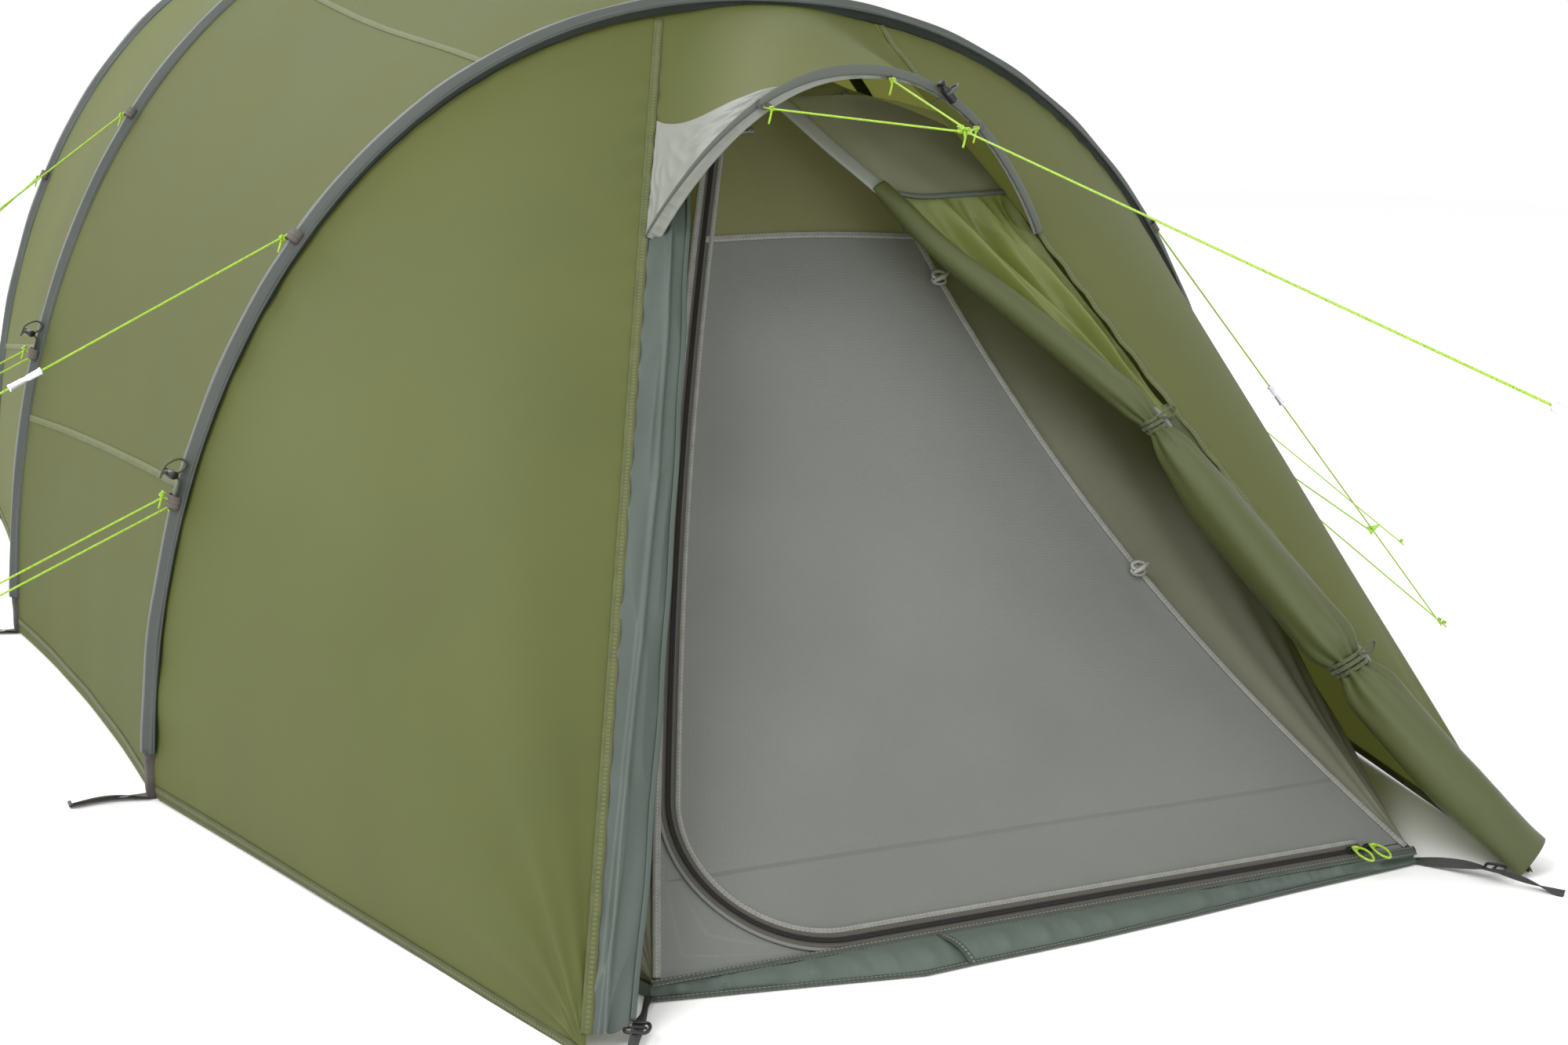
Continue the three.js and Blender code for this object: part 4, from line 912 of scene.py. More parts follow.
def make_tail_end():
    first = UNDER_SLEEVE / TAIL_LENGTH
    crown = REAR[2] - tail_seam(LEFT, 0.0)[2]

    def base(u, v):
        u, v = matched(u, v)
        share = first + (1 - first) * v
        point = mix(tail_seam(LEFT, share), tail_seam(RIGHT, share), u)
        return point + pt(0, 0, crown * (1 - share) * 4 * u * (1 - u))

    def wrinkle(u, v):
        return 0.004 * waves(u, v, 47, 6, (0.6, 2.4), (0.5, 2.0)) * inner_mask(u) * inner_mask(v)

    cloth = Cloth(base, wrinkle, inside=(0, REAR[0], 0.1))
    sheet = link("tail_end_flysheet", mesh_of("tail_end", [cloth.part(120, 110)]), FLY,
                 replaces=["tail_end_panel"])
    hem = draw("tail_end_hem", [cloth.band(np.linspace(0.01, 0.99, 80), 0.994, 0.012, 0.0016)], FLY_HEM)
    width, length = 2 * TAIL_HALF_WIDTH, float(np.linalg.norm(tail_seam(LEFT, 0.0) - tail_corner(LEFT)))
    float(sheet_area(cloth.grid(40, 40)))


make_tail_end()

# ---------------------------------------------------------------- pole sleeves and feet


TAPE_WIDTH = 0.006  # of the tape along each edge of a sleeve


def make_sleeve(name, hoop, seed):
    start = angle_at_height(hoop[2], SLEEVE_FOOT)
    angle = np.linspace(start, math.pi - start, 360)
    points = hoop_point(hoop, angle)
    along = tangents(points)
    across = np.array([0.0, 1.0, 0.0])
    up = unit(np.cross(along, across))
    up *= np.sign((up * (points - np.array([0, hoop[0], 0.3]))).sum(-1).mean())
    turn = np.linspace(0, 2 * math.pi, 28, endpoint=False)
    share = np.linspace(0, 1, len(points))[:, None]
    wide = squared(np.cos(turn), 0.9) * SLEEVE_WIDTH / 2
    high = np.sin(turn) * SLEEVE_DEPTH / 2
    high = np.where(np.abs(wide) > 0.010, high * 0.5, high)
    field = waves(share, turn[None] / 6.28, seed, 7, (6.0, 26.0), (1.0, 2.0))
    foot = 1 + 1.2 * np.exp(-np.minimum(share, 1 - share) / 0.05)
    puff = 1 + 0.05 * field * foot
    rings = points[:, None] + across * (wide * puff)[..., None] + up[:, None] * (high * puff)[..., None]
    link(name + "_cloth", mesh_of(name, [ring_part(rings)]), SLEEVE, replaces=[name])
    edges = []
    for side in (-1, 1):
        line = points + across * side * (SLEEVE_WIDTH / 2 + 0.001) - up * 0.001
        edges.append(band_part(line, np.broadcast_to(across, line.shape), up, TAPE_WIDTH, 0.0022))
    draw(name + "_edges", edges, SLEEVE_EDGE_TAPE)


def band_along(points, up_hint, width, thickness, crown=0.0):
    points = np.asarray(points, float)
    hint = np.broadcast_to(np.asarray(up_hint, float), points.shape)
    along = tangents(points)
    side = unit(np.cross(along, hint))
    return band_part(points, side, np.cross(side, along), width, thickness, crown)


POCKET_HEIGHT = 0.064
PEG_LOOP_REACH = 0.095


def make_foot(name, hoop, side):
    """Folded webbing that holds the pole's end, with the peg loop that lies on the ground beside it."""
    foot = hoop_point(hoop, angle_at_height(hoop[2], 0.006))[0] * -side
    base = np.array([foot, hoop[0], 0.0])
    height = np.linspace(0.001, POCKET_HEIGHT, 14)
    turn = np.linspace(0, 2 * math.pi, 24, endpoint=False)
    flat = 1 + 0.10 * np.sin(height / POCKET_HEIGHT * 9)[:, None] * np.cos(2 * turn)[None]
    narrow = (0.72 + 0.28 * np.clip(height / 0.03, 0, 1))[:, None]
    x = squared(np.cos(turn), 0.6) * 0.0078 * flat * narrow
    y = squared(np.sin(turn), 0.6) * 0.0125 * flat * narrow
    top = hoop_point(hoop, angle_at_height(hoop[2], POCKET_HEIGHT))[0] * -side
    lean = (top - foot) * height / POCKET_HEIGHT
    rings = base + pt(x + lean[:, None], y, np.broadcast_to(height[:, None], x.shape))
    parts = [ring_part(rings)]
    s = np.linspace(0, 1, 40)
    lie = 0.5 * np.sin(math.pi * s)
    for layer in (0, 1):
        out = base + pt(side * (0.004 + PEG_LOOP_REACH * s), 0.006 * np.sin(3 * s) - 0.004 * layer,
                        0.0022 + 0.0030 * layer + 0.006 * lie ** 2 * (1 if layer else 0.4))
        twist = np.sin(2.4 * s) * 0.55 * (1 if layer else 0.8)
        hint = pt(0, np.sin(twist), np.cos(twist))
        parts.append(band_along(out, hint, 0.0185 - 0.003 * np.sin(math.pi * s), 0.0013))
    end_turn = np.linspace(-math.pi / 2, math.pi / 2, 12)
    end = base + pt(side * (0.004 + PEG_LOOP_REACH - 0.0015 + 0.0035 * np.cos(end_turn)), 0.001,
                    0.0037 + 0.0017 * np.sin(end_turn))
    face = (0, 0.001, 0.0) + pt(np.cos(end_turn) * side, 0, np.sin(end_turn))
    parts.append(band_along(end, face, 0.0182, 0.0013))
    link(name + "_strap", mesh_of(name, parts), WEBBING, replaces=[name])


for place, hoop, seed in (("front", FRONT, 51), ("middle", MIDDLE, 53), ("rear", REAR, 57)):
    make_sleeve(f"{place}_pole_sleeve", hoop, seed)
    make_foot(f"{place}_left_foot_webbing", hoop, LEFT)
    make_foot(f"{place}_right_foot_webbing", hoop, RIGHT)
    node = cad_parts[f"{place}_pole"]
    node.data.materials.clear()
    node.data.materials.append(ALUMINIUM)

# ---------------------------------------------------------------- hood, brim and storm flap


def hood_base(u, v):
    start = hoop_point(FRONT, HOOD_FROM + (math.pi - 2 * HOOD_FROM) * np.asarray(u, float))
    rim = brim_point(u)
    first = UNDER_SLEEVE / np.maximum(np.abs(rim[..., 1]), 0.05)
    return mix(start, rim, first + (1 - first) * np.asarray(v, float))


HOOD_FROM = angle_at_side(FRONT[1], SEAM_HALF_GAP)


def hood_wrinkle(u, v):
    broad = 0.003 * waves(u, v, 61, 6, (0.8, 3.0), (0.4, 1.6)) * inner_mask(v) * inner_mask(u)
    return broad + 0.0012 * waves(u, v, 62, 5, (8.0, 18.0), (0.0, 1.0)) * near(v, 1.0, 0.12)


HOOD = Cloth(hood_base, hood_wrinkle, inside=(0, 0, 0.2))


def make_hood():
    sheet = draw("nose_hood", [HOOD.part(150, 70)], NOSE_FLY, replaces=["nose_hood_panel"])
    float(sheet_area(HOOD.grid(60, 40)))


def brim_patch():
    """A grey reinforcement in the hood's left corner, with a curved upper edge."""

    def base(u, v):
        u, v = matched(u, v)
        along = 0.38 * v
        top = 0.50 + 0.46 * v ** 1.4
        depth = top + (0.995 - top) * u
        across = 0.004 + along
        return HOOD.at(across, depth, 0.0030)

    def wrinkle(u, v):
        return 0.0009 * creases(u, v, 65, 6, (1.0, 4.0), (2.0, 6.0)) * inner_mask(u, 0.8)

    return Cloth(base, wrinkle, inside=(0, 0, 0.2))


def make_brim():
    """The hood's grey edging: an outer roll that hangs down and turns under, with its facing inside."""
    share = np.linspace(0.004, 0.996, 260)
    top = brim_point(share)
    along = tangents(top)
    down = unit(np.cross(along, [0.0, -1.0, 0.0]))
    down *= np.sign(-down[:, 2:3] + 1e-9)
    out = np.array([0.0, -1.0, 0.0])
    depth = 0.004 + 0.013 * np.clip(1 - share / 0.62, 0, 1) + 0.0008 * waves(share, 0, 71, 4, (1, 3))
    bulge = 0.0016 * creases(share, 0.0, 72, 6, (9, 26)) * np.clip(1.2 - share, 0, 1)
    rows = []
    for t, push in ((-0.25, 0.0022), (-0.1, 0.0034), (0.1, 0.0036), (0.35, 0.0032), (0.6, 0.0028),
                    (0.85, 0.0030), (1.0, 0.0034), (1.06, 0.0018), (1.0, 0.0), (0.7, -0.0006), (0.3, 0.0),
                    (0.0, 0.0006), (-0.2, 0.0008)):
        mask = math.sin(max(0.0, min(1.0, (t + 0.55) / 1.55)) * math.pi)
        rows.append(top + down * (t * depth)[:, None] + out * (push + bulge * mask)[:, None])
    link("hood_brim_cloth", mesh_of("hood_brim", [ring_part(np.stack(rows, axis=1))]), BRIM,
         replaces=["hood_brim"])
    line = top + out * 0.0030 - down * 0.0040
    face = unit(out - down * 0.5)
    width = 0.0025 + 0.0115 * np.clip(share / 0.45, 0, 1) ** 2
    trim = band_part(line, unit(np.cross(along, face)), face, width, 0.0022, 0.001)
    draw("hood_brim_edging", [trim], BRIM_EDGE)
    draw("hood_brim_patches", [brim_patch().part(40, 60)], BRIM)
    rings = []
    for tie in BRIM_TIES:
        centre = brim_tie(tie) + np.array([0, 0.004, 0.004])
        turn = np.linspace(0, 2 * math.pi, 30)
        loop = centre + pt(0.007 * np.sin(turn), -0.004 + 0.004 * np.cos(turn), 0.006 * np.cos(turn))
        outward = unit(loop - centre)
        across = np.broadcast_to(unit(np.array([1.0, 0.4, 0.0])), loop.shape)
        rings.append(band_part(loop, across, outward, 0.009, 0.0012))
    draw("brim_webbing_rings", rings, WEBBING)


def make_cord_lock(name, place, along, cord_material, size=1.0):
    """A spring cord lock: a barrel with its plunger, and the loop of cord that runs through it."""
    along = unit(np.asarray(along, float))
    side = unit(np.cross(along, [0.0, 0.0, 1.0]))
    up = np.cross(side, along)
    turn = np.linspace(0, 2 * math.pi, 20, endpoint=False)[:, None]
    around = np.cos(turn) * side + np.sin(turn) * up * 0.8
    rings = []
    for z, r in ((-0.011, 0.002), (-0.0105, 0.0048), (-0.009, 0.0058), (-0.002, 0.006), (0.004, 0.0058),
                 (0.0055, 0.005), (0.0058, 0.0036), (0.010, 0.0036), (0.0102, 0.0052), (0.0128, 0.0052),
                 (0.0135, 0.0042), (0.0137, 0.001)):
        rings.append(place + size * (along * z + around * r))
    draw(name, [ring_part(np.array(rings))], BLACK)
    loop = spline([place - side * 0.012 * size, place - side * 0.004 + up * 0.003,
                   place + side * 0.010 * size,
                   place + side * 0.020 * size + up * 0.010, place + side * 0.012 + up * 0.018,
                   place - side * 0.006 + up * 0.012, place - side * 0.014 - up * 0.004], 50)
    tail = spline([place, place + side * 0.012 - up * 0.010, place + side * 0.008 - up * 0.028], 16)
    draw(name + "_cord", [tube_part(loop, 0.0017, 8), tube_part(tail, 0.0017, 8)], cord_material)


make_hood()
make_brim()


FLAP_TOP = 0.17  # share of the seam where the flap starts, under the brim


def flap_base(u, v):
    u, v = matched(u, v)
    share = FLAP_TOP + (0.985 - FLAP_TOP) * v
    edge = nose_seam(LEFT, share)
    wide = 0.046 + 0.010 * inner_mask(v, 0.8)
    roll = 0.010 * np.sin(math.pi * np.clip(u, 0, 1) ** 0.8)
    return edge + pt(0.001 + wide * u, -roll * 0.75, -roll * 0.25)


def flap_wrinkle(u, v):
    crumple = 0.0020 * creases(u, v, 81, 6, (0.6, 1.6), (1.0, 5.0)) * inner_mask(u, 0.7)
    edge = 0.0014 * waves(u, v, 82, 5, (0.0, 0.5), (3.0, 7.0)) * u ** 2
    fold = 0.0045 * near(u, 0.42 + 0.12 * np.sin(5 * v), 0.07)
    return crumple + edge + fold


def make_storm_flap():
    cloth = Cloth(flap_base, flap_wrinkle, inside=(-0.35, 0.1, 0.3))
    sheet = draw("storm_flap", [cloth.part(40, 320)], FLAP, replaces=["nose_storm_flap"])
    edge = [cloth.band(0.985, np.linspace(0.003, 0.997, 200), 0.006, 0.0022)]
    hem = draw("storm_flap_hem", edge, FLAP)
    length = float(np.linalg.norm(nose_seam(LEFT, 0.985) - nose_seam(LEFT, FLAP_TOP)))


make_storm_flap()

# ---------------------------------------------------------------- outer door, rolled to the right


def doorway(x, share):
    """A point of the doorway's plane: x as it is, and share as along the seams."""
    share = np.asarray(share, float)
    seam = nose_seam(RIGHT, share)
    return pt(x, seam[..., 1], seam[..., 2])


ROLL_WAY = [(0.067, 0.227), (0.124, 0.304), (0.204, 0.379), (0.283, 0.455), (0.333, 0.510), (0.385, 0.620),
            (0.462, 0.763), (0.532, 0.885), (0.590, 0.960), (0.612, 0.985)]
TIE_PLACES = (0.405, 0.735)  # along the roll


def doorway_line(places, count):
    return spline(np.array([doorway(x, share) for x, share in places]), count)


def make_roll():
    count = 420
    way = doorway_line(ROLL_WAY, count)
    out = unit(np.cross(nose_seam(RIGHT, 1.0) - nose_seam(RIGHT, 0.0), [1.0, 0.0, 0.0]))
    out *= -np.sign(out[1])
    s = np.linspace(0, 1, count)
    radius = 0.0135 + 0.006 * np.clip(s / 0.3, 0, 1) + 0.014 * np.clip((s - 0.41) / 0.10, 0, 1)
    radius *= 1 - 0.2 * np.clip((s - 0.9) / 0.1, 0, 1)
    pinch = 1 - 0.48 * sum(near(s, tie, 0.020) for tie in TIE_PLACES)
    along = tangents(way)
    side = unit(np.cross(along, out))
    up = np.cross(side, along)
    turn = np.linspace(0, 2 * math.pi, 72, endpoint=False)
    st = s[:, None]
    grown = sum(np.exp(-np.abs(st - tie) / 0.05) for tie in TIE_PLACES)
    pleats = 0.17 * np.clip(grown, 0, 1) ** 1.5 * np.sin(8 * turn + 4 * np.sin(3 * st))
    twist = 0.045 * np.sin(3 * turn + 9 * st) * np.clip((st - 0.42) / 0.1, 0, 1)
    wrap = 0.06 * np.sin(turn + 3.0 * st) + twist
    lap = ((turn - 4.2) / (2 * math.pi)) % 1.0
    shape = 1 + pleats + wrap + 0.14 * (lap - 0.5) * (1 - 0.6 * np.clip(grown, 0, 1))
    flatten = 1 - 0.45 * np.clip((st - 0.93) / 0.07, 0, 1) - 0.35 * np.clip((0.04 - st) / 0.04, 0, 1)
    widen = 1 + 0.35 * np.clip((st - 0.93) / 0.07, 0, 1)
    r = (radius * pinch)[:, None] * shape
    rings = (way[:, None] + side[:, None] * (r * np.cos(turn) * widen)[..., None]
             + up[:, None] * (r * np.sin(turn) * flatten)[..., None])
    rings[..., 2] = np.maximum(rings[..., 2], 0.002)
    draw("rolled_door", [ring_part(rings)], DOOR_FLY, replaces=["outer_door_roll"])
    return way, along, side, up, radius


def make_ties(way, along, side, up, radius):
    for name, place in zip(("upper", "lower"), TIE_PLACES):
        i = int(place * (len(way) - 1))
        centre, parts = way[i], []
        tight = 0.62 * radius[i]
        turn = np.linspace(0, 2 * math.pi, 44)
        for shift, grow in ((-0.006, 1.0), (0.0005, 1.08), (0.007, 0.98)):
            r = tight * grow + 0.0008 * np.sin(5 * turn)
            ring = centre + along[i] * (shift + 0.004 * np.sin(turn))[:, None]
            ring = ring + side[i] * (r * np.cos(turn))[:, None] + up[i] * (r * np.sin(turn))[:, None]
            outward = unit(ring - centre)
            parts.append(band_part(ring, np.broadcast_to(along[i], ring.shape), outward, 0.0055, 0.0026))
        front = centre + up[i] * (tight + 0.0025)
        bow = np.array([[0, 0, 0], [0.012, 0.003, 0.008], [0.026, 0.004, 0.014], [0.024, 0.002, 0.002],
                        [0.004, 0.003, -0.002], [-0.010, 0.004, -0.012], [-0.004, 0.001, -0.030]])
        parts.append(tube_part(spline(front + bow, 50), 0.0019, 8))
        draw(f"{name}_tie_cord", parts, OLIVE_CORD, replaces=[f"{name}_door_tie"])
        toggle = centre - side[i] * (tight + 0.004) + up[i] * 0.004
        bar = toggle + along[i] * np.linspace(-0.019, 0.019, 16)[:, None]
        profile = 0.0040 * (1 - 0.25 * np.cos(np.linspace(0, 2 * math.pi, 16)))
        ends = np.clip(np.sin(np.linspace(0.12, math.pi - 0.12, 16)) * 3.0, 0, 1)
        draw(f"{name}_tie_toggle", [tube_part(bar, profile * ends, 14)], GREY_PLASTIC)


def make_fan():
    """The pleated part of the door between the vent's hem, the right seam and the upper tie."""
    right = doorway_line([(0.262, 0.237), (0.296, 0.316), (0.334, 0.400), (0.372, 0.505)], 60)
    left = doorway_line([(0.085, 0.240), (0.150, 0.305), (0.240, 0.398), (0.330, 0.505)], 60)

    def base(u, v):
        u, v = matched(u, v)
        return mix(along_rows(left, v), along_rows(right, v), u)

    def wrinkle(u, v):
        swing = u + 0.05 * np.sin(4 * v)
        pleat = np.sin(2 * math.pi * (2.6 * swing + 0.3))
        pleat = pleat + 0.35 * np.sin(2 * math.pi * (6.1 * swing + 1.1 * v))
        depth = 0.001 + 0.021 * np.sin(math.pi * np.clip(v, 0, 1) ** 0.75)
        small = 0.0016 * creases(u, v, 97, 7, (3.0, 8.0), (1.0, 4.0)) * near(u, 1, 0.4)
        return (depth * pleat * inner_mask(u, 0.6) * 0.75 + small) - 0.010 * inner_mask(v)

    cloth = Cloth(base, wrinkle, inside=(0.2, 0.2, 0.4))
    # drawn with the door cloth's lighter copy: painted light
    sheet = draw("door_fan", [cloth.part(120, 140)], DOOR_FAN_PAINTED_LIGHT)


def make_door_strip():
    """The flat part of the outer door that stays sewn to the right seam, behind the roll."""
    low, high = 0.49, 0.985
    tie_x = np.array([x for x, _ in ROLL_WAY])
    tie_share = np.array([share for _, share in ROLL_WAY])

    def base(u, v):
        u, v = matched(u, v)
        share = low + (high - low) * v
        seam = nose_seam(RIGHT, share)
        roll = doorway(np.interp(share, tie_share, tie_x), share)
        return mix(seam, roll, u) + pt(0, 0.006 * inner_mask(u), -0.006 * inner_mask(u))

    def wrinkle(u, v):
        return 0.003 * waves(u, v, 105, 6, (0.4, 1.4), (2.0, 8.0)) * inner_mask(u) * inner_mask(v)

    cloth = Cloth(base, wrinkle, inside=(0.2, 0.2, 0.4))
    sheet = draw("door_strip", [cloth.part(30, 200)], DOOR_FLY)
    length = float(np.linalg.norm(nose_seam(RIGHT, high) - nose_seam(RIGHT, low)))
    float(sheet_area(cloth.grid(20, 80)))


def make_vent():
    top = doorway_line([(-0.050, 0.118), (0.100, 0.112), (0.215, 0.135), (0.262, 0.150)], 40)
    low = doorway_line([(0.066, 0.236), (0.120, 0.243), (0.170, 0.242), (0.220, 0.239), (0.268, 0.236)], 40)

    def base(u, v):
        u, v = matched(u, v)
        return mix(along_rows(top, u), along_rows(low, u), v)

    def wrinkle(u, v):
        return 0.004 * waves(u, v, 101, 5, (0.8, 2.5), (0.4, 1.6)) * inner_mask(u) * inner_mask(v)

    cloth = Cloth(base, wrinkle, inside=(0.2, 0.2, 0.4))
    sheet = draw("vent_netting", [cloth.part(80, 60)], VENT_NET,
                 replaces=["outer_door_vent"])
    line = np.linspace(0.0, 1.0, 80)
    diagonal = cloth.band(0.04, line, 0.028 - 0.004 * line, 0.0018, crown=0.0012)
    hem = cloth.band(line, 0.985, 0.007, 0.0028, lift=0.004, crown=0.001)
    tape = draw("vent_tape", [diagonal], BRIM)
    edge = draw("vent_hem", [hem], BRIM_EDGE)


make_ties(*make_roll())
make_fan()
make_door_strip()
make_vent()

# ---------------------------------------------------------------- inner tent

INNER_FLOOR = TUB_HEIGHT + 0.0008
WALL_START = np.array([0.0, -INNER_REACH, INNER_FLOOR])
WALL_END = np.array([0.0, -INNER_TOP_SETBACK, FRONT[2] - INNER_TOP_INSET])
CHORD = float(np.linalg.norm(WALL_END - WALL_START))
CHORD_UP = unit(WALL_END - WALL_START)
WALL_OUT = np.array([0.0, -CHORD_UP[2], CHORD_UP[1]])
EDGE_SLOPE = (INNER_HALF_WIDTH - INNER_TOP_HALF) / CHORD
NET_EDGE = 0.815  # share of the front wall where the netting starts
RIGHT_BOW = 0.022


def wall_point(x, up, lift=0.0):
    """A point of the inner tent's front wall: x across, up as a length along its chord."""
    x, up = matched(x, up)
    share = up / CHORD
    drop = INNER_SAG * 4 * share * (1 - share) - np.asarray(lift, float)
    return pt(x, 0, 0) + mix(WALL_START, WALL_END, share) - WALL_OUT * drop[..., None]


def wall_wrinkle(x, up):
    """Soft upright folds of the front wall, and slack near the lower left corner."""
    q = up / CHORD
    fold = 0.0045 * np.exp(-((x + 0.20 - 0.16 * q) / 0.06) ** 2) * np.sin(math.pi * np.clip(q * 1.3, 0, 1))
    broad = 0.0028 * waves(x, q, 111, 6, (0.8, 2.4), (0.4, 1.6))
    edge = np.clip((INNER_HALF_WIDTH - EDGE_SLOPE * up - np.abs(x)) / 0.05, 0, 1)
    return (fold + broad) * edge * np.clip(q / 0.05, 0, 1) * np.clip((1 - q) / 0.05, 0, 1)


def wall(x, up, lift=0.0):
    return wall_point(x, up, wall_wrinkle(x, up) + lift)


DOOR_LOW = DOOR_BOTTOM
DOOR_HIGH = CHORD - DOOR_TOP


def door_left(up, grow=0.0):
    """The door's left edge with its round lower corner, as x for a length up the chord."""
    up = np.asarray(up, float)
    straight_x = -(INNER_HALF_WIDTH - EDGE_SLOPE * up) + DOOR_SIDE - grow
    radius = DOOR_CORNER + grow
    low = DOOR_LOW - grow
    centre_up = low + radius
    tilt = math.atan(EDGE_SLOPE)
    centre_x = -(INNER_HALF_WIDTH - EDGE_SLOPE * centre_up) + DOOR_SIDE - grow + radius / math.cos(tilt)
    below = np.clip(centre_up - up, 0, radius)
    arc = centre_x - np.sqrt(np.maximum(radius ** 2 - below ** 2, 0))
    return np.where(up < centre_up - radius * math.sin(tilt), np.maximum(arc, straight_x), straight_x)


def right_edge(up):
    """The wall's right edge, drawn in by the hanging side wall."""
    share = np.clip(np.asarray(up, float) / CHORD, 0, 1)
    return INNER_HALF_WIDTH - EDGE_SLOPE * CHORD * share - RIGHT_BOW * 4 * share * (1 - share)


def door_right(up):
    return right_edge(up) - 0.006


def outline(grow=0.0, hinge_end=0.425):
    """The zip's way as x and up: along the bottom from the right, round the corner and up the left side."""
    radius = DOOR_CORNER + grow
    low = DOOR_LOW - grow
    tilt = math.atan(EDGE_SLOPE)
    centre_up = low + radius
    centre_x = -(INNER_HALF_WIDTH - EDGE_SLOPE * centre_up) + DOOR_SIDE - grow + radius / math.cos(tilt)
    bottom = [(x, low) for x in np.linspace(hinge_end, centre_x, 60)]
    angles = np.linspace(-math.pi / 2, -math.pi - tilt, 50)[1:]
    corner = [(centre_x + radius * math.cos(a), centre_up + radius * math.sin(a)) for a in angles]
    x, up = corner[-1]
    side = [(x + EDGE_SLOPE * (q - up), q) for q in np.linspace(up, DOOR_HIGH - TOP_TURN, 90)[1:]]
    top_x = side[-1][0]
    turn = [(top_x + 0.05 * (1 - math.cos(a)), DOOR_HIGH - TOP_TURN + 0.02 * math.sin(a))
            for a in np.linspace(0, math.pi / 2, 10)[1:]]
    return np.array(bottom + corner + side + turn)


ZIP_TAPE_SIZE = (0.0085, 0.0014, 0.0026)  # width, thickness and height over the cloth
ZIP_COIL_SIZE = (0.0028, 0.0024, 0.0042, 0.0004)  # the same, and the crown of its face
WALL_INSET = 0.003  # from the wall's left edge to its cloth
WALL_FOOT = 0.0015  # up the chord to the cloth's lower edge
TOP_TURN = 0.015  # below the door's top where the zip turns across


def wall_band(way, width, thickness, lift, crown=0.0):
    points = wall(way[:, 0], way[:, 1], lift)
    step = 1e-3
    du = wall_point(way[:, 0] + step, way[:, 1]) - wall_point(way[:, 0] - step, way[:, 1])
    dv = wall_point(way[:, 0], way[:, 1] + step) - wall_point(way[:, 0], way[:, 1] - step)
    up = unit(np.cross(du, dv))
    up *= np.sign((up @ WALL_OUT))[:, None]
    side = unit(np.cross(tangents(points), up))
    return band_part(points, side, up, width, thickness, crown)


HINGE_LOW = wall_point(INNER_HALF_WIDTH - 0.026, 0.0)


def blend_door(piece):
    """Bakes a piece's transform into its mesh; the way from the hinge that it works out is not used."""
    away = unit(np.cross(WALL_OUT, wall_point(door_right(1.0), 1.0) - wall_point(door_right(0.0), 0.0)))
    away *= -np.sign(away[0])
    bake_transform(piece)


def door_rows(heights, columns):
    """A grid over the door, as x and up, from a list of lengths up the chord."""
    up = heights[:, None]
    x = door_left(up) + (door_right(up) - door_left(up)) * np.linspace(0, 1, columns)[None]
    return x, np.broadcast_to(up, x.shape)


def make_door():
    net_up = NET_EDGE * CHORD
    corner = 1 - np.cos(np.linspace(0, math.pi / 2, 40))
    low = DOOR_LOW + DOOR_CORNER * corner
    x, up = door_rows(np.concatenate([low, np.linspace(low[-1], net_up, 110)[1:]]), 130)
    panel = draw("inner_door_cloth", [grid_part(wall(x, up, 0.001))], INNER, None,
                 ["inner_door"])
    x, up = door_rows(net_up + (DOOR_HIGH - net_up) * np.linspace(0, 1, 40), 70)
    net = draw("inner_door_netting", [grid_part(wall(x, up, 0.001))], NET, None)
    line = np.linspace(0.004, 0.996, 90)
    left, right = float(door_left(net_up)), float(door_right(net_up))
    binding_way = np.stack([left + (right - left) * line, net_up + 0.004 * np.sin(3 * line) - 0.002], -1)
    binding = draw("inner_door_binding", [wall_band(binding_way, 0.009, 0.0024, 0.0026)], PIPING, None)
    tape_way, piping_way = outline(-0.0050), outline(-0.0115)
    tape = draw("zip_door_tape", [wall_band(tape_way, *ZIP_TAPE_SIZE)], ZIP_TAPE, None,
                ["inner_zip_door_tape"])
    piping = draw("zip_door_piping", [wall_band(piping_way, 0.0065, 0.0026, 0.0026, 0.0010)], PIPING, None)
    coil = draw("zip_door_coil", [wall_band(outline(-0.0014), *ZIP_COIL_SIZE)], ZIP_COIL,
                None)
    for piece in (panel, net, binding, tape, piping, coil):
        blend_door(piece)


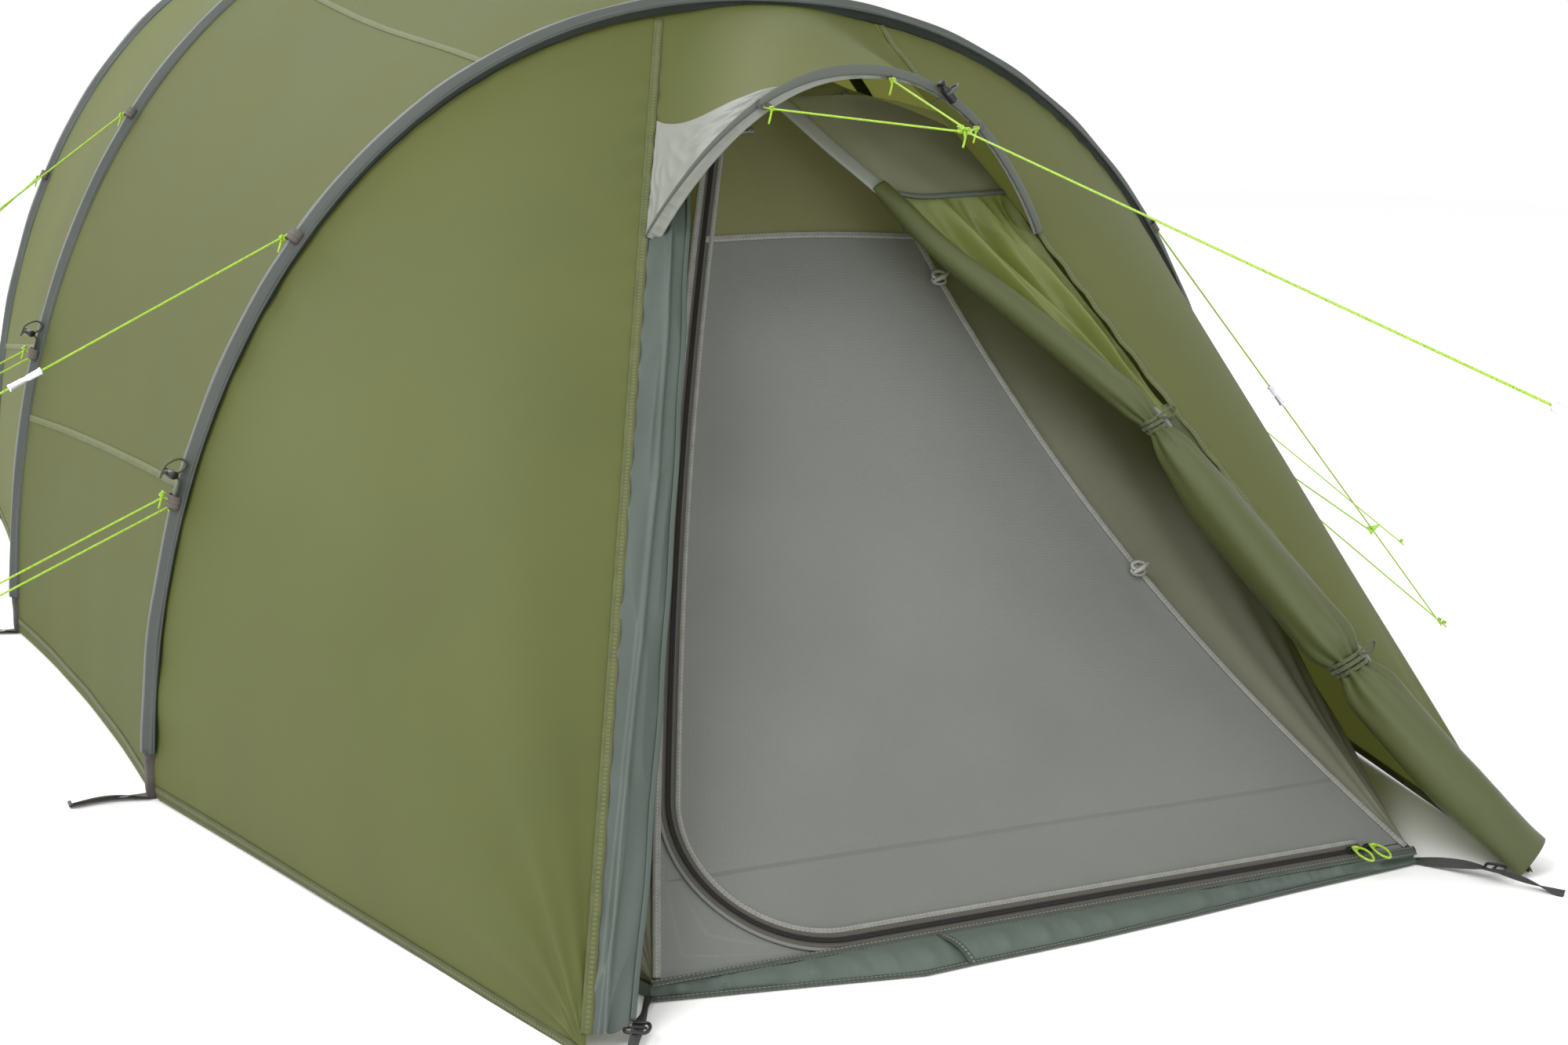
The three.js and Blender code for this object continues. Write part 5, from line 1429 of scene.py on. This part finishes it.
def make_front_frame():
    """The fixed part of the front wall round the door: its left strip with the lower corner, and its top."""
    way = outline(0.001, 0.489)
    count = len(way)
    outer = []
    corner_x = -INNER_HALF_WIDTH + WALL_INSET
    for x, up in way:
        if up < DOOR_LOW + 0.001 and x > -INNER_HALF_WIDTH + DOOR_SIDE + DOOR_CORNER:
            outer.append((x, WALL_FOOT))
        else:
            outer.append(None)
    first = next(i for i, place in enumerate(outer) if place is None)
    arc = [i for i in range(first, count) if way[i][1] < DOOR_LOW + DOOR_CORNER * 1.1]
    half = len(arc) // 2
    start_x = way[first - 1][0]
    for k, i in enumerate(arc):
        if k < half:
            outer[i] = (start_x + (corner_x - start_x) * (k + 1) / half, WALL_FOOT)
        else:
            top = way[arc[-1]][1]
            up = WALL_FOOT + (top - WALL_FOOT) * (k + 1 - half) / (len(arc) - half)
            outer[i] = (-(INNER_HALF_WIDTH - WALL_INSET - EDGE_SLOPE * up), up)
    for i in range(count):
        if outer[i] is None:
            up = min(way[i][1], CHORD)
            outer[i] = (-(INNER_HALF_WIDTH - WALL_INSET - EDGE_SLOPE * up), up)
    outer = np.array(outer)
    t = np.linspace(0, 1, 14)[:, None, None]
    flat = way[None] * (1 - t) + outer[None] * t
    side = grid_part(wall(flat[..., 0], flat[..., 1], 0.0006))
    up = np.linspace(DOOR_HIGH, CHORD, 16)[:, None]
    half_width = INNER_HALF_WIDTH - EDGE_SLOPE * up
    x = half_width * np.linspace(-1, 1, 50)[None]
    top = grid_part(wall(x, np.broadcast_to(up, x.shape), 0.0006))
    cloth = draw("inner_front_frame", [side], INNER, replaces=["inner_front_wall"])
    draw("inner_front_top_netting", [top], NET)
    draw("zip_wall_tape", [wall_band(outline(0.0050), *ZIP_TAPE_SIZE)], ZIP_TAPE,
         replaces=["inner_zip_wall_tape"])
    draw("zip_wall_piping", [wall_band(outline(0.0112), 0.0045, 0.0020, 0.0024, 0.0006)], INNER)
    draw("zip_wall_coil", [wall_band(outline(0.0014), *ZIP_COIL_SIZE)], ZIP_COIL)
    bindings = []
    for side_sign in (LEFT, RIGHT):
        up = np.linspace(0.004, CHORD - 0.004, 160)
        place = right_edge(up) if side_sign > 0 else EDGE_SLOPE * up - INNER_HALF_WIDTH
        edge = np.stack([place - side_sign * 0.004, up], -1)
        bindings.append(wall_band(edge, 0.009, 0.0034, 0.0020, 0.0010))
    draw("inner_edge_bindings", bindings, PIPING)


def inner_arch(y, angle):
    y = np.asarray(y, float)
    first = np.clip((y - FRONT[0]) / (MIDDLE[0] - FRONT[0]), 0, 1)
    second = np.clip((y - MIDDLE[0]) / (REAR[0] - MIDDLE[0]), 0, 1)
    width = FRONT[1] + (MIDDLE[1] - FRONT[1]) * first + (REAR[1] - MIDDLE[1]) * second - 2 * INNER_SIDE_INSET
    height = FRONT[2] + (MIDDLE[2] - FRONT[2]) * first + (REAR[2] - MIDDLE[2]) * second - INNER_TOP_INSET
    return arch(width, height, y, angle)


INNER_HEM = angle_at_height(FRONT[2] - INNER_TOP_INSET, INNER_FLOOR + 0.0008)
INNER_SEAM = 1.0


def make_inner_shell():
    top_angle = angle_at_side(FRONT[1] - 2 * INNER_SIDE_INSET, INNER_TOP_HALF + 0.004)
    for name, side, seed in (("left", LEFT, 121), ("right", RIGHT, 125)):
        mirror = mirrored(side)
        corner = np.array([side * (INNER_HALF_WIDTH - 0.001), -INNER_REACH, INNER_FLOOR])

        def nose(u, v):
            u, v = matched(u, v)
            rim = inner_arch(0, INNER_HEM + (top_angle - INNER_HEM) * u) * mirror
            point = mix(corner, rim, 0.003 + 0.997 * v)
            bow = RIGHT_BOW * 4 * v * (1 - v) * u ** 3 * (side > 0)
            return point - WALL_OUT * (INNER_SAG * 4 * v * (1 - v) * u * u)[..., None] - pt(bow, 0, 0)

        def nose_wrinkle(u, v):
            pulls = 0.005 * np.sin(2 * math.pi * 7 * u + 3 * v) * np.exp(-v / 0.3)
            pulls = pulls * inner_mask(v, 1.0) * inner_mask(u, 0.4)
            hang = 0.005 * waves(u, v, seed, 6, (0.6, 2.0), (0.6, 3.0)) * inner_mask(u) * inner_mask(v)
            return pulls + hang

        def main(u, v):
            angle = INNER_HEM + (INNER_SEAM - INNER_HEM) * np.asarray(u, float)
            return inner_arch(INNER_REAR * np.asarray(v, float), angle) * mirror

        def main_wrinkle(u, v):
            return 0.006 * waves(u, v, seed + 1, 6, (0.5, 1.5), (1.0, 5.0)) * inner_mask(v)

        front = Cloth(nose, nose_wrinkle, inside=(0, 0.6, 0.3))
        rest = Cloth(main, main_wrinkle, inside=(0, 0.6, 0.3))
        wall_piece = draw(f"inner_{name}_side", [front.part(110, 90), rest.part(60, 80)], INNER_PAINTED_LIGHT,
                          replaces=[f"inner_{name}_wall"])
        area = float(sheet_area(front.grid(50, 50)) + sheet_area(rest.grid(50, 50)))

    def roof(u, v):
        angle = INNER_SEAM + (math.pi - 2 * INNER_SEAM) * np.asarray(u, float)
        return inner_arch(INNER_REAR * np.asarray(v, float), angle)

    def roof_wrinkle(u, v):
        return (0.008 * waves(u, v, 131, 6, (0.5, 2.0), (0.5, 3.0)) - 0.02 * inner_mask(v)) * inner_mask(v)

    top = Cloth(roof, roof_wrinkle, inside=(0, 0.6, 0.3))
    piece = draw("inner_ceiling", [top.part(90, 90)], INNER_PAINTED_LIGHT,
                 replaces=["inner_roof"])
    float(sheet_area(top.grid(50, 50)))

    def back(u, v):
        u, v = matched(u, v)
        rim = inner_arch(INNER_REAR, INNER_HEM + (math.pi - 2 * INNER_HEM) * u)
        foot = pt(rim[..., 0], INNER_REAR, INNER_FLOOR)
        return mix(foot, rim, v)

    def back_wrinkle(u, v):
        return 0.006 * waves(u, v, 137, 6, (0.8, 3.0), (0.3, 1.5)) * inner_mask(v) * inner_mask(u)

    rear = Cloth(back, back_wrinkle, inside=(0, 0.6, 0.3))
    piece = draw("inner_back", [rear.part(110, 60)], INNER_PAINTED_LIGHT,
                 replaces=["inner_rear_wall"])
    float(sheet_area(rear.grid(80, 60)))


make_door()
make_front_frame()
make_inner_shell()


def tub_half(y):
    """Half the groundsheet's width, from the nose corner along the feet of the inner walls."""
    y = np.asarray(y, float)
    corner = INNER_HALF_WIDTH + TUB_WALL
    foot = np.abs(inner_arch(np.maximum(y, 0), INNER_HEM)[..., 0]) + TUB_WALL
    nose = corner + (foot - corner) * np.clip((y + INNER_REACH) / INNER_REACH, 0, 1)
    return np.where(y < 0, nose, foot)


FRONT_BULGE = [(-0.498, 0.0), (-0.330, 0.030), (-0.213, 0.052), (-0.150, 0.048), (0.0, 0.042), (0.127, 0.032),
               (0.300, 0.016), (0.460, 0.004), (0.498, 0.0)]  # how far the tub's foot stands out in front


def make_tub():
    length = INNER_REACH + INNER_REAR + 2 * TUB_WALL
    bulge_x, bulge = np.array(FRONT_BULGE).T

    def floor(u, v):
        u, v = matched(u, v)
        y = -INNER_REACH - TUB_WALL + length * v
        x = (2 * u - 1) * (tub_half(y) - 0.001)
        y = y - np.interp(x, bulge_x, bulge) * (1 - v) ** 30
        return pt(x, y, 0.0026)

    def floor_wrinkle(u, v):
        return 0.0010 * creases(u, v, 141, 8, (2.0, 7.0), (2.0, 9.0)) * inner_mask(u) * inner_mask(v) + 0.0008

    sheet = Cloth(floor, floor_wrinkle, inside=(0, 0, -5))
    x = np.linspace(-INNER_HALF_WIDTH - TUB_WALL, INNER_HALF_WIDTH + TUB_WALL, 240)
    reach = np.interp(x, bulge_x, bulge)
    rows = []
    crumple = creases(x * 2, 0.0, 143, 6, (2, 8)) * 0.003 + creases(x * 2, 0.5, 144, 6, (9, 20)) * 0.0012
    right_corner = np.exp(-((x - 0.47) / 0.05) ** 2)
    for k, t in enumerate(np.linspace(0, 1, 16)):
        top = pt(x, -INNER_REACH - 0.002, INNER_FLOOR + 0.0005)
        low = pt(x, -INNER_REACH - 0.004 - reach, 0.0015)
        sway = math.sin(math.pi * t)
        row = top * (1 - t) + low * t
        row = row + pt(0, -(0.005 * sway + crumple * sway + right_corner * 0.006 * math.sin(9 * t)),
                       0.25 * crumple * sway + 0.006 * sway * np.clip(reach / 0.05, 0, 1))
        rows.append(row)
    band = grid_part(np.array(rows))
    walls = []
    for side in (LEFT, RIGHT):
        y = np.linspace(-INNER_REACH - TUB_WALL, INNER_REAR + TUB_WALL, 120)
        outer = pt(side * tub_half(y), y, 0.0)
        lean = 0.0012 * waves(y, 0.0, 145 + side, 5, (1, 5))
        rows = [outer + pt(side * (0.001 + lean * math.sin(math.pi * t)), 0,
                           0.0015 + (TUB_HEIGHT - 0.0005) * t) for t in np.linspace(0, 1, 6)]
        walls.append(grid_part(np.array(rows), side > 0))
    xb = np.linspace(-float(tub_half(INNER_REAR)), float(tub_half(INNER_REAR)), 60)
    rows = [pt(xb, INNER_REAR + TUB_WALL, 0.0015 + (TUB_HEIGHT - 0.0005) * t) for t in np.linspace(0, 1, 5)]
    walls.append(grid_part(np.array(rows), True))
    tub = draw("groundsheet", [sheet.part(90, 140), band, *walls], TUB,
               replaces=["groundsheet_tub"])
    seam_line = pt(x, -INNER_REACH - 0.0045, INNER_FLOOR + 0.0016)
    low_line = pt(x, -INNER_REACH - 0.0065 - reach - 0.002, 0.0030)
    cross = np.linspace(0, 1, 14)
    seam_x = -0.165
    k = int(np.argmin(np.abs(x - seam_x)))
    top = pt(seam_x, -INNER_REACH - 0.003, INNER_FLOOR)
    low = pt(seam_x, -INNER_REACH - 0.006 - reach[k], 0.002)
    side_line = mix(top, low, cross) + pt(0.012 * cross, -0.006 * np.sin(math.pi * cross) - 0.003,
                                          0.006 * np.sin(math.pi * cross) + 0.001)
    bands = [band_along(seam_line, (0, -0.6, 0.8), 0.007, 0.0026),
             band_along(low_line, (0, -0.4, 0.9), 0.005, 0.0022),
             band_along(side_line, (0, -0.5, 0.85), 0.009, 0.0018)]
    seams = draw("groundsheet_seams", bands, TUB_SEAM)
    float(sheet_area(sheet.grid(60, 60))) + 0.16


make_tub()

# ---------------------------------------------------------------- small parts of the inner tent


def make_strap(side, name):
    start = np.array([side * (INNER_HALF_WIDTH + TUB_WALL), -INNER_REACH - TUB_WALL, 0.004])
    direction = unit(np.array([side * 0.58, -1.0, 0.0]))
    s = np.linspace(0, 1, 50)
    line = start + direction * (0.178 * s)[:, None] + pt(0, 0, 0.010 * np.sin(math.pi * s) ** 1.3 - 0.002 * s)
    line[:, 2] = np.maximum(line[:, 2], 0.0022)
    twist = 0.9 * np.sin(2.2 * math.pi * s)
    across = np.cross(direction, [0, 0, 1.0])
    hint = pt(across[0] * np.sin(twist), across[1] * np.sin(twist), np.cos(twist))
    parts = [band_along(line, hint, 0.0125, 0.0016)]
    bar = line[24] + np.array([0, 0, 0.003])
    half, length = across * 0.010, direction * 0.020
    frame_way = [bar + half, bar + half + length, bar - half + length, bar - half, bar + half]
    middle = bar + direction * 0.010
    buckle = [tube_part(spline(frame_way, 40), 0.0018, 8),
              tube_part(np.linspace(middle + half, middle - half, 6), 0.0016, 8)]
    link(name + "_web", mesh_of(name, parts), STRAP, replaces=[name])
    draw(name + "_buckle", buckle, BLACK)


make_strap(LEFT, "left_corner_strap")
make_strap(RIGHT, "right_corner_strap")


def wall_frame(x, up, lift):
    seat = wall_point(x, up, lift)
    along = unit(wall_point(x, up + 0.02, lift) - seat)
    right = np.array([1.0, 0.0, 0.0])
    return seat, np.stack([right, along, np.cross(right, along)])


def rounded(size, centre, round_off, steps=6):
    """A block with round edges, as rings of a squared circle."""
    turn = np.linspace(0, 2 * math.pi, 32, endpoint=False)
    x, y = squared(np.cos(turn), 0.35), squared(np.sin(turn), 0.35)
    rings = []
    fall = [(1 - math.cos(a)) for a in np.linspace(math.pi / 2, 0, steps)]
    heights = [(-1, f) for f in fall] + [(1, f) for f in fall[::-1]]
    for end, f in heights:
        shrink_x, shrink_y = 1 - f * round_off / (size[0] / 2), 1 - f * round_off / (size[1] / 2)
        z = end * (size[2] / 2 - round_off * (1 - math.sqrt(max(0.0, 1 - f * f))))
        rings.append(centre + pt(x * size[0] / 2 * shrink_x, y * size[1] / 2 * shrink_y, z))
    return ring_part(np.array(rings))


PULL_LEAN = -0.45  # radians from the wall at which a pull hangs


def make_slider(name, x):
    seat, basis = wall_frame(x, DOOR_LOW, 0.0022)

    def place(part):
        points, quads, uv = part
        return seat + points @ basis, quads, uv

    body = [rounded((0.0155, 0.0088, 0.0022), np.array([0, 0, 0.0012]), 0.0009),
            rounded((0.0150, 0.0084, 0.0020), np.array([0, 0, 0.0042]), 0.0009),
            rounded((0.0040, 0.0034, 0.0040), np.array([0.004, 0, 0.0028]), 0.0004)]
    bridge = spline([(-0.0055, 0, 0.0046), (-0.004, 0, 0.0062), (0.0, 0, 0.0068), (0.004, 0, 0.0062),
                     (0.0055, 0, 0.0046)], 24)
    body.append(tube_part(bridge, 0.0008, 8, hint=(0, 1, 0)))
    link(f"{name}_slider_body", mesh_of(f"{name}_slider", [place(p) for p in body]), BLACK,
         f"{name}_slider", [f"{name}_zip_slider"])
    lift = 0.006 + 0.0013 + 0.0012
    half = [(0.0022, 0, 0), (0.0065, -0.010, 0.0015), (0.0080, -0.020, 0.001), (0.0045, -0.030, 0.0)]
    loop = spline([(-x, y, z) for x, y, z in half] + [(0.0, -0.0335, 0.0), *half[::-1],
                                                      (-0.0022, 0.0004, 0.0)], 70)
    knot_turn = np.linspace(0, 4 * math.pi, 40)
    wrap = pt(0.0032 * np.cos(knot_turn), -0.0045 + 0.0006 * knot_turn / 3, 0.0022 * np.sin(knot_turn))
    parts = [tube_part(loop, 0.0014, 10), tube_part(wrap, 0.0013, 8, hint=(0, 1, 0))]
    turned = []
    for points, quads, uv in parts:
        c, s = math.cos(PULL_LEAN), math.sin(PULL_LEAN)
        moved = points.copy()
        moved[:, 1] = points[:, 1] * c - points[:, 2] * s
        moved[:, 2] = points[:, 1] * s + points[:, 2] * c + lift
        turned.append((seat + moved @ basis, quads, uv))
    link(f"{name}_pull_loop", mesh_of(f"{name}_pull", turned), LIME, f"{name}_pull",
         [f"{name}_zip_pull"])


make_slider("lower", 0.435)
make_slider("upper", 0.409)


def make_door_toggles():
    """Loops and toggles on the right binding, which hold the rolled inner door."""
    parts, bars = [], []
    for share in (0.377, 0.760):
        up = share * CHORD
        x = float(right_edge(up)) - 0.004
        seat = wall(x, up, 0.006)
        turn = np.linspace(0, 2 * math.pi, 40)
        for shift in (-0.004, 0.003):
            ring = seat + pt(0.010 * np.cos(turn) - 0.004, -0.004 + 0.003 * np.sin(turn),
                             shift + 0.0045 * np.sin(turn))
            parts.append(tube_part(ring, 0.0020, 8, hint=(0, 1, 0)))
        bar = seat + np.array([[-0.016, -0.008, -0.006], [-0.004, -0.010, 0.0], [0.008, -0.008, 0.006]])
        bars.append(tube_part(bar, [0.002, 0.0032, 0.002], 12))
    draw("inner_toggle_loops", parts, GREY_CORD)
    draw("inner_toggles", bars, GREY_CORD)


make_door_toggles()


def make_guy_fittings():
    """Webbing loops on the sleeves where the guys are tied, and olive shock-cord loops with their locks."""
    bands = []
    heights = ((FRONT, 0.705), (FRONT, 0.380), (MIDDLE, 0.840), (MIDDLE, 0.458), (REAR, 0.700))
    for hoop, side, z in ((hoop, side, z) for hoop, z in heights for side in (LEFT, RIGHT)):
        ring = sleeve_point(hoop, side, z)
        angle = angle_at_height(hoop[2], z)
        hoop_along = unit((hoop_point(hoop, angle + 0.01) - hoop_point(hoop, angle - 0.01)) * mirrored(side))
        outward = unit(ring - hoop_point(hoop, angle) * mirrored(side))
        turn = np.linspace(0, 2 * math.pi, 30)
        centre = ring - outward * 0.007
        loop = centre + outward * (0.0085 * np.cos(turn))[:, None]
        loop = loop + np.array([0, 1, 0]) * (0.016 * np.sin(turn))[:, None]
        across = np.broadcast_to(hoop_along, loop.shape)
        bands.append(band_part(loop, across, unit(loop - centre), 0.016, 0.0016))
    draw("guy_webbing_loops", bands, WEBBING)
    for side_name, side in (("left", LEFT), ("right", RIGHT)):
        for hoop_name, hoop, z in (("front", FRONT, 0.412), ("middle", MIDDLE, 0.488)):
            place = sleeve_point(hoop, side, z) + np.array([side * 0.010, -0.016, 0.004])
            name = f"{side_name}_{hoop_name}_cord_lock"
            make_cord_lock(name, place, (side * 0.3, 0.9, 0.1), OLIVE_CORD, 1.1)
    brim = brim_point(0.625) + np.array([0, -0.012, 0.006])
    make_cord_lock("brim_cord_lock", brim, (-0.6, 0.2, 0.8), BRIM_EDGE, 1.3)


make_guy_fittings()

# ---------------------------------------------------------------- floor and light


def make_stage():
    floor = bpy.data.meshes.new("floor")
    floor.from_pydata([(-14, -14, 0), (14, -14, 0), (14, 14, 0), (-14, 14, 0)], [], [(0, 1, 2, 3)])
    plain = hard("floor_paper", srgb(253, 253, 253), 0.85, wear=0.004, scale=3.0)
    piece = bpy.data.objects.new("floor", floor)
    floor.materials.append(plain)
    bpy.context.collection.objects.link(piece)
    world = bpy.data.worlds.new("studio")
    world.use_nodes = True
    world.node_tree.nodes["Background"].inputs["Color"].default_value = (1.0, 1.0, 1.0, 1)
    world.node_tree.nodes["Background"].inputs["Strength"].default_value = 1.0
    bpy.context.scene.world = world
    bpy.context.scene.view_settings.view_transform = "Standard"
    for name, place, aim, size, power in (
        ("key", (-3.5, -2.0, 4.5), (0, 0.5, 0.5), 2.5, 130),
        ("top", (-1.0, 4.0, 5.0), (0, 1.4, 0.6), 3.0, 150),
        ("front", (-0.3, -5.5, 1.6), (0, -0.5, 0.4), 3.0, 40),
        ("back", (-3.0, 3.2, 2.6), (-0.6, 1.0, 0.8), 2.0, 70),
    ):
        data = bpy.data.lights.new(name, "AREA")
        data.size, data.energy = size, power
        lamp = bpy.data.objects.new(name, data)
        bpy.context.collection.objects.link(lamp)
        back = unit(np.subtract(place, aim))
        side = unit(np.cross([0, 0, 1.0], back))
        up = np.cross(back, side)
        lamp.matrix_world = placed(side, up, back, place)


make_stage()
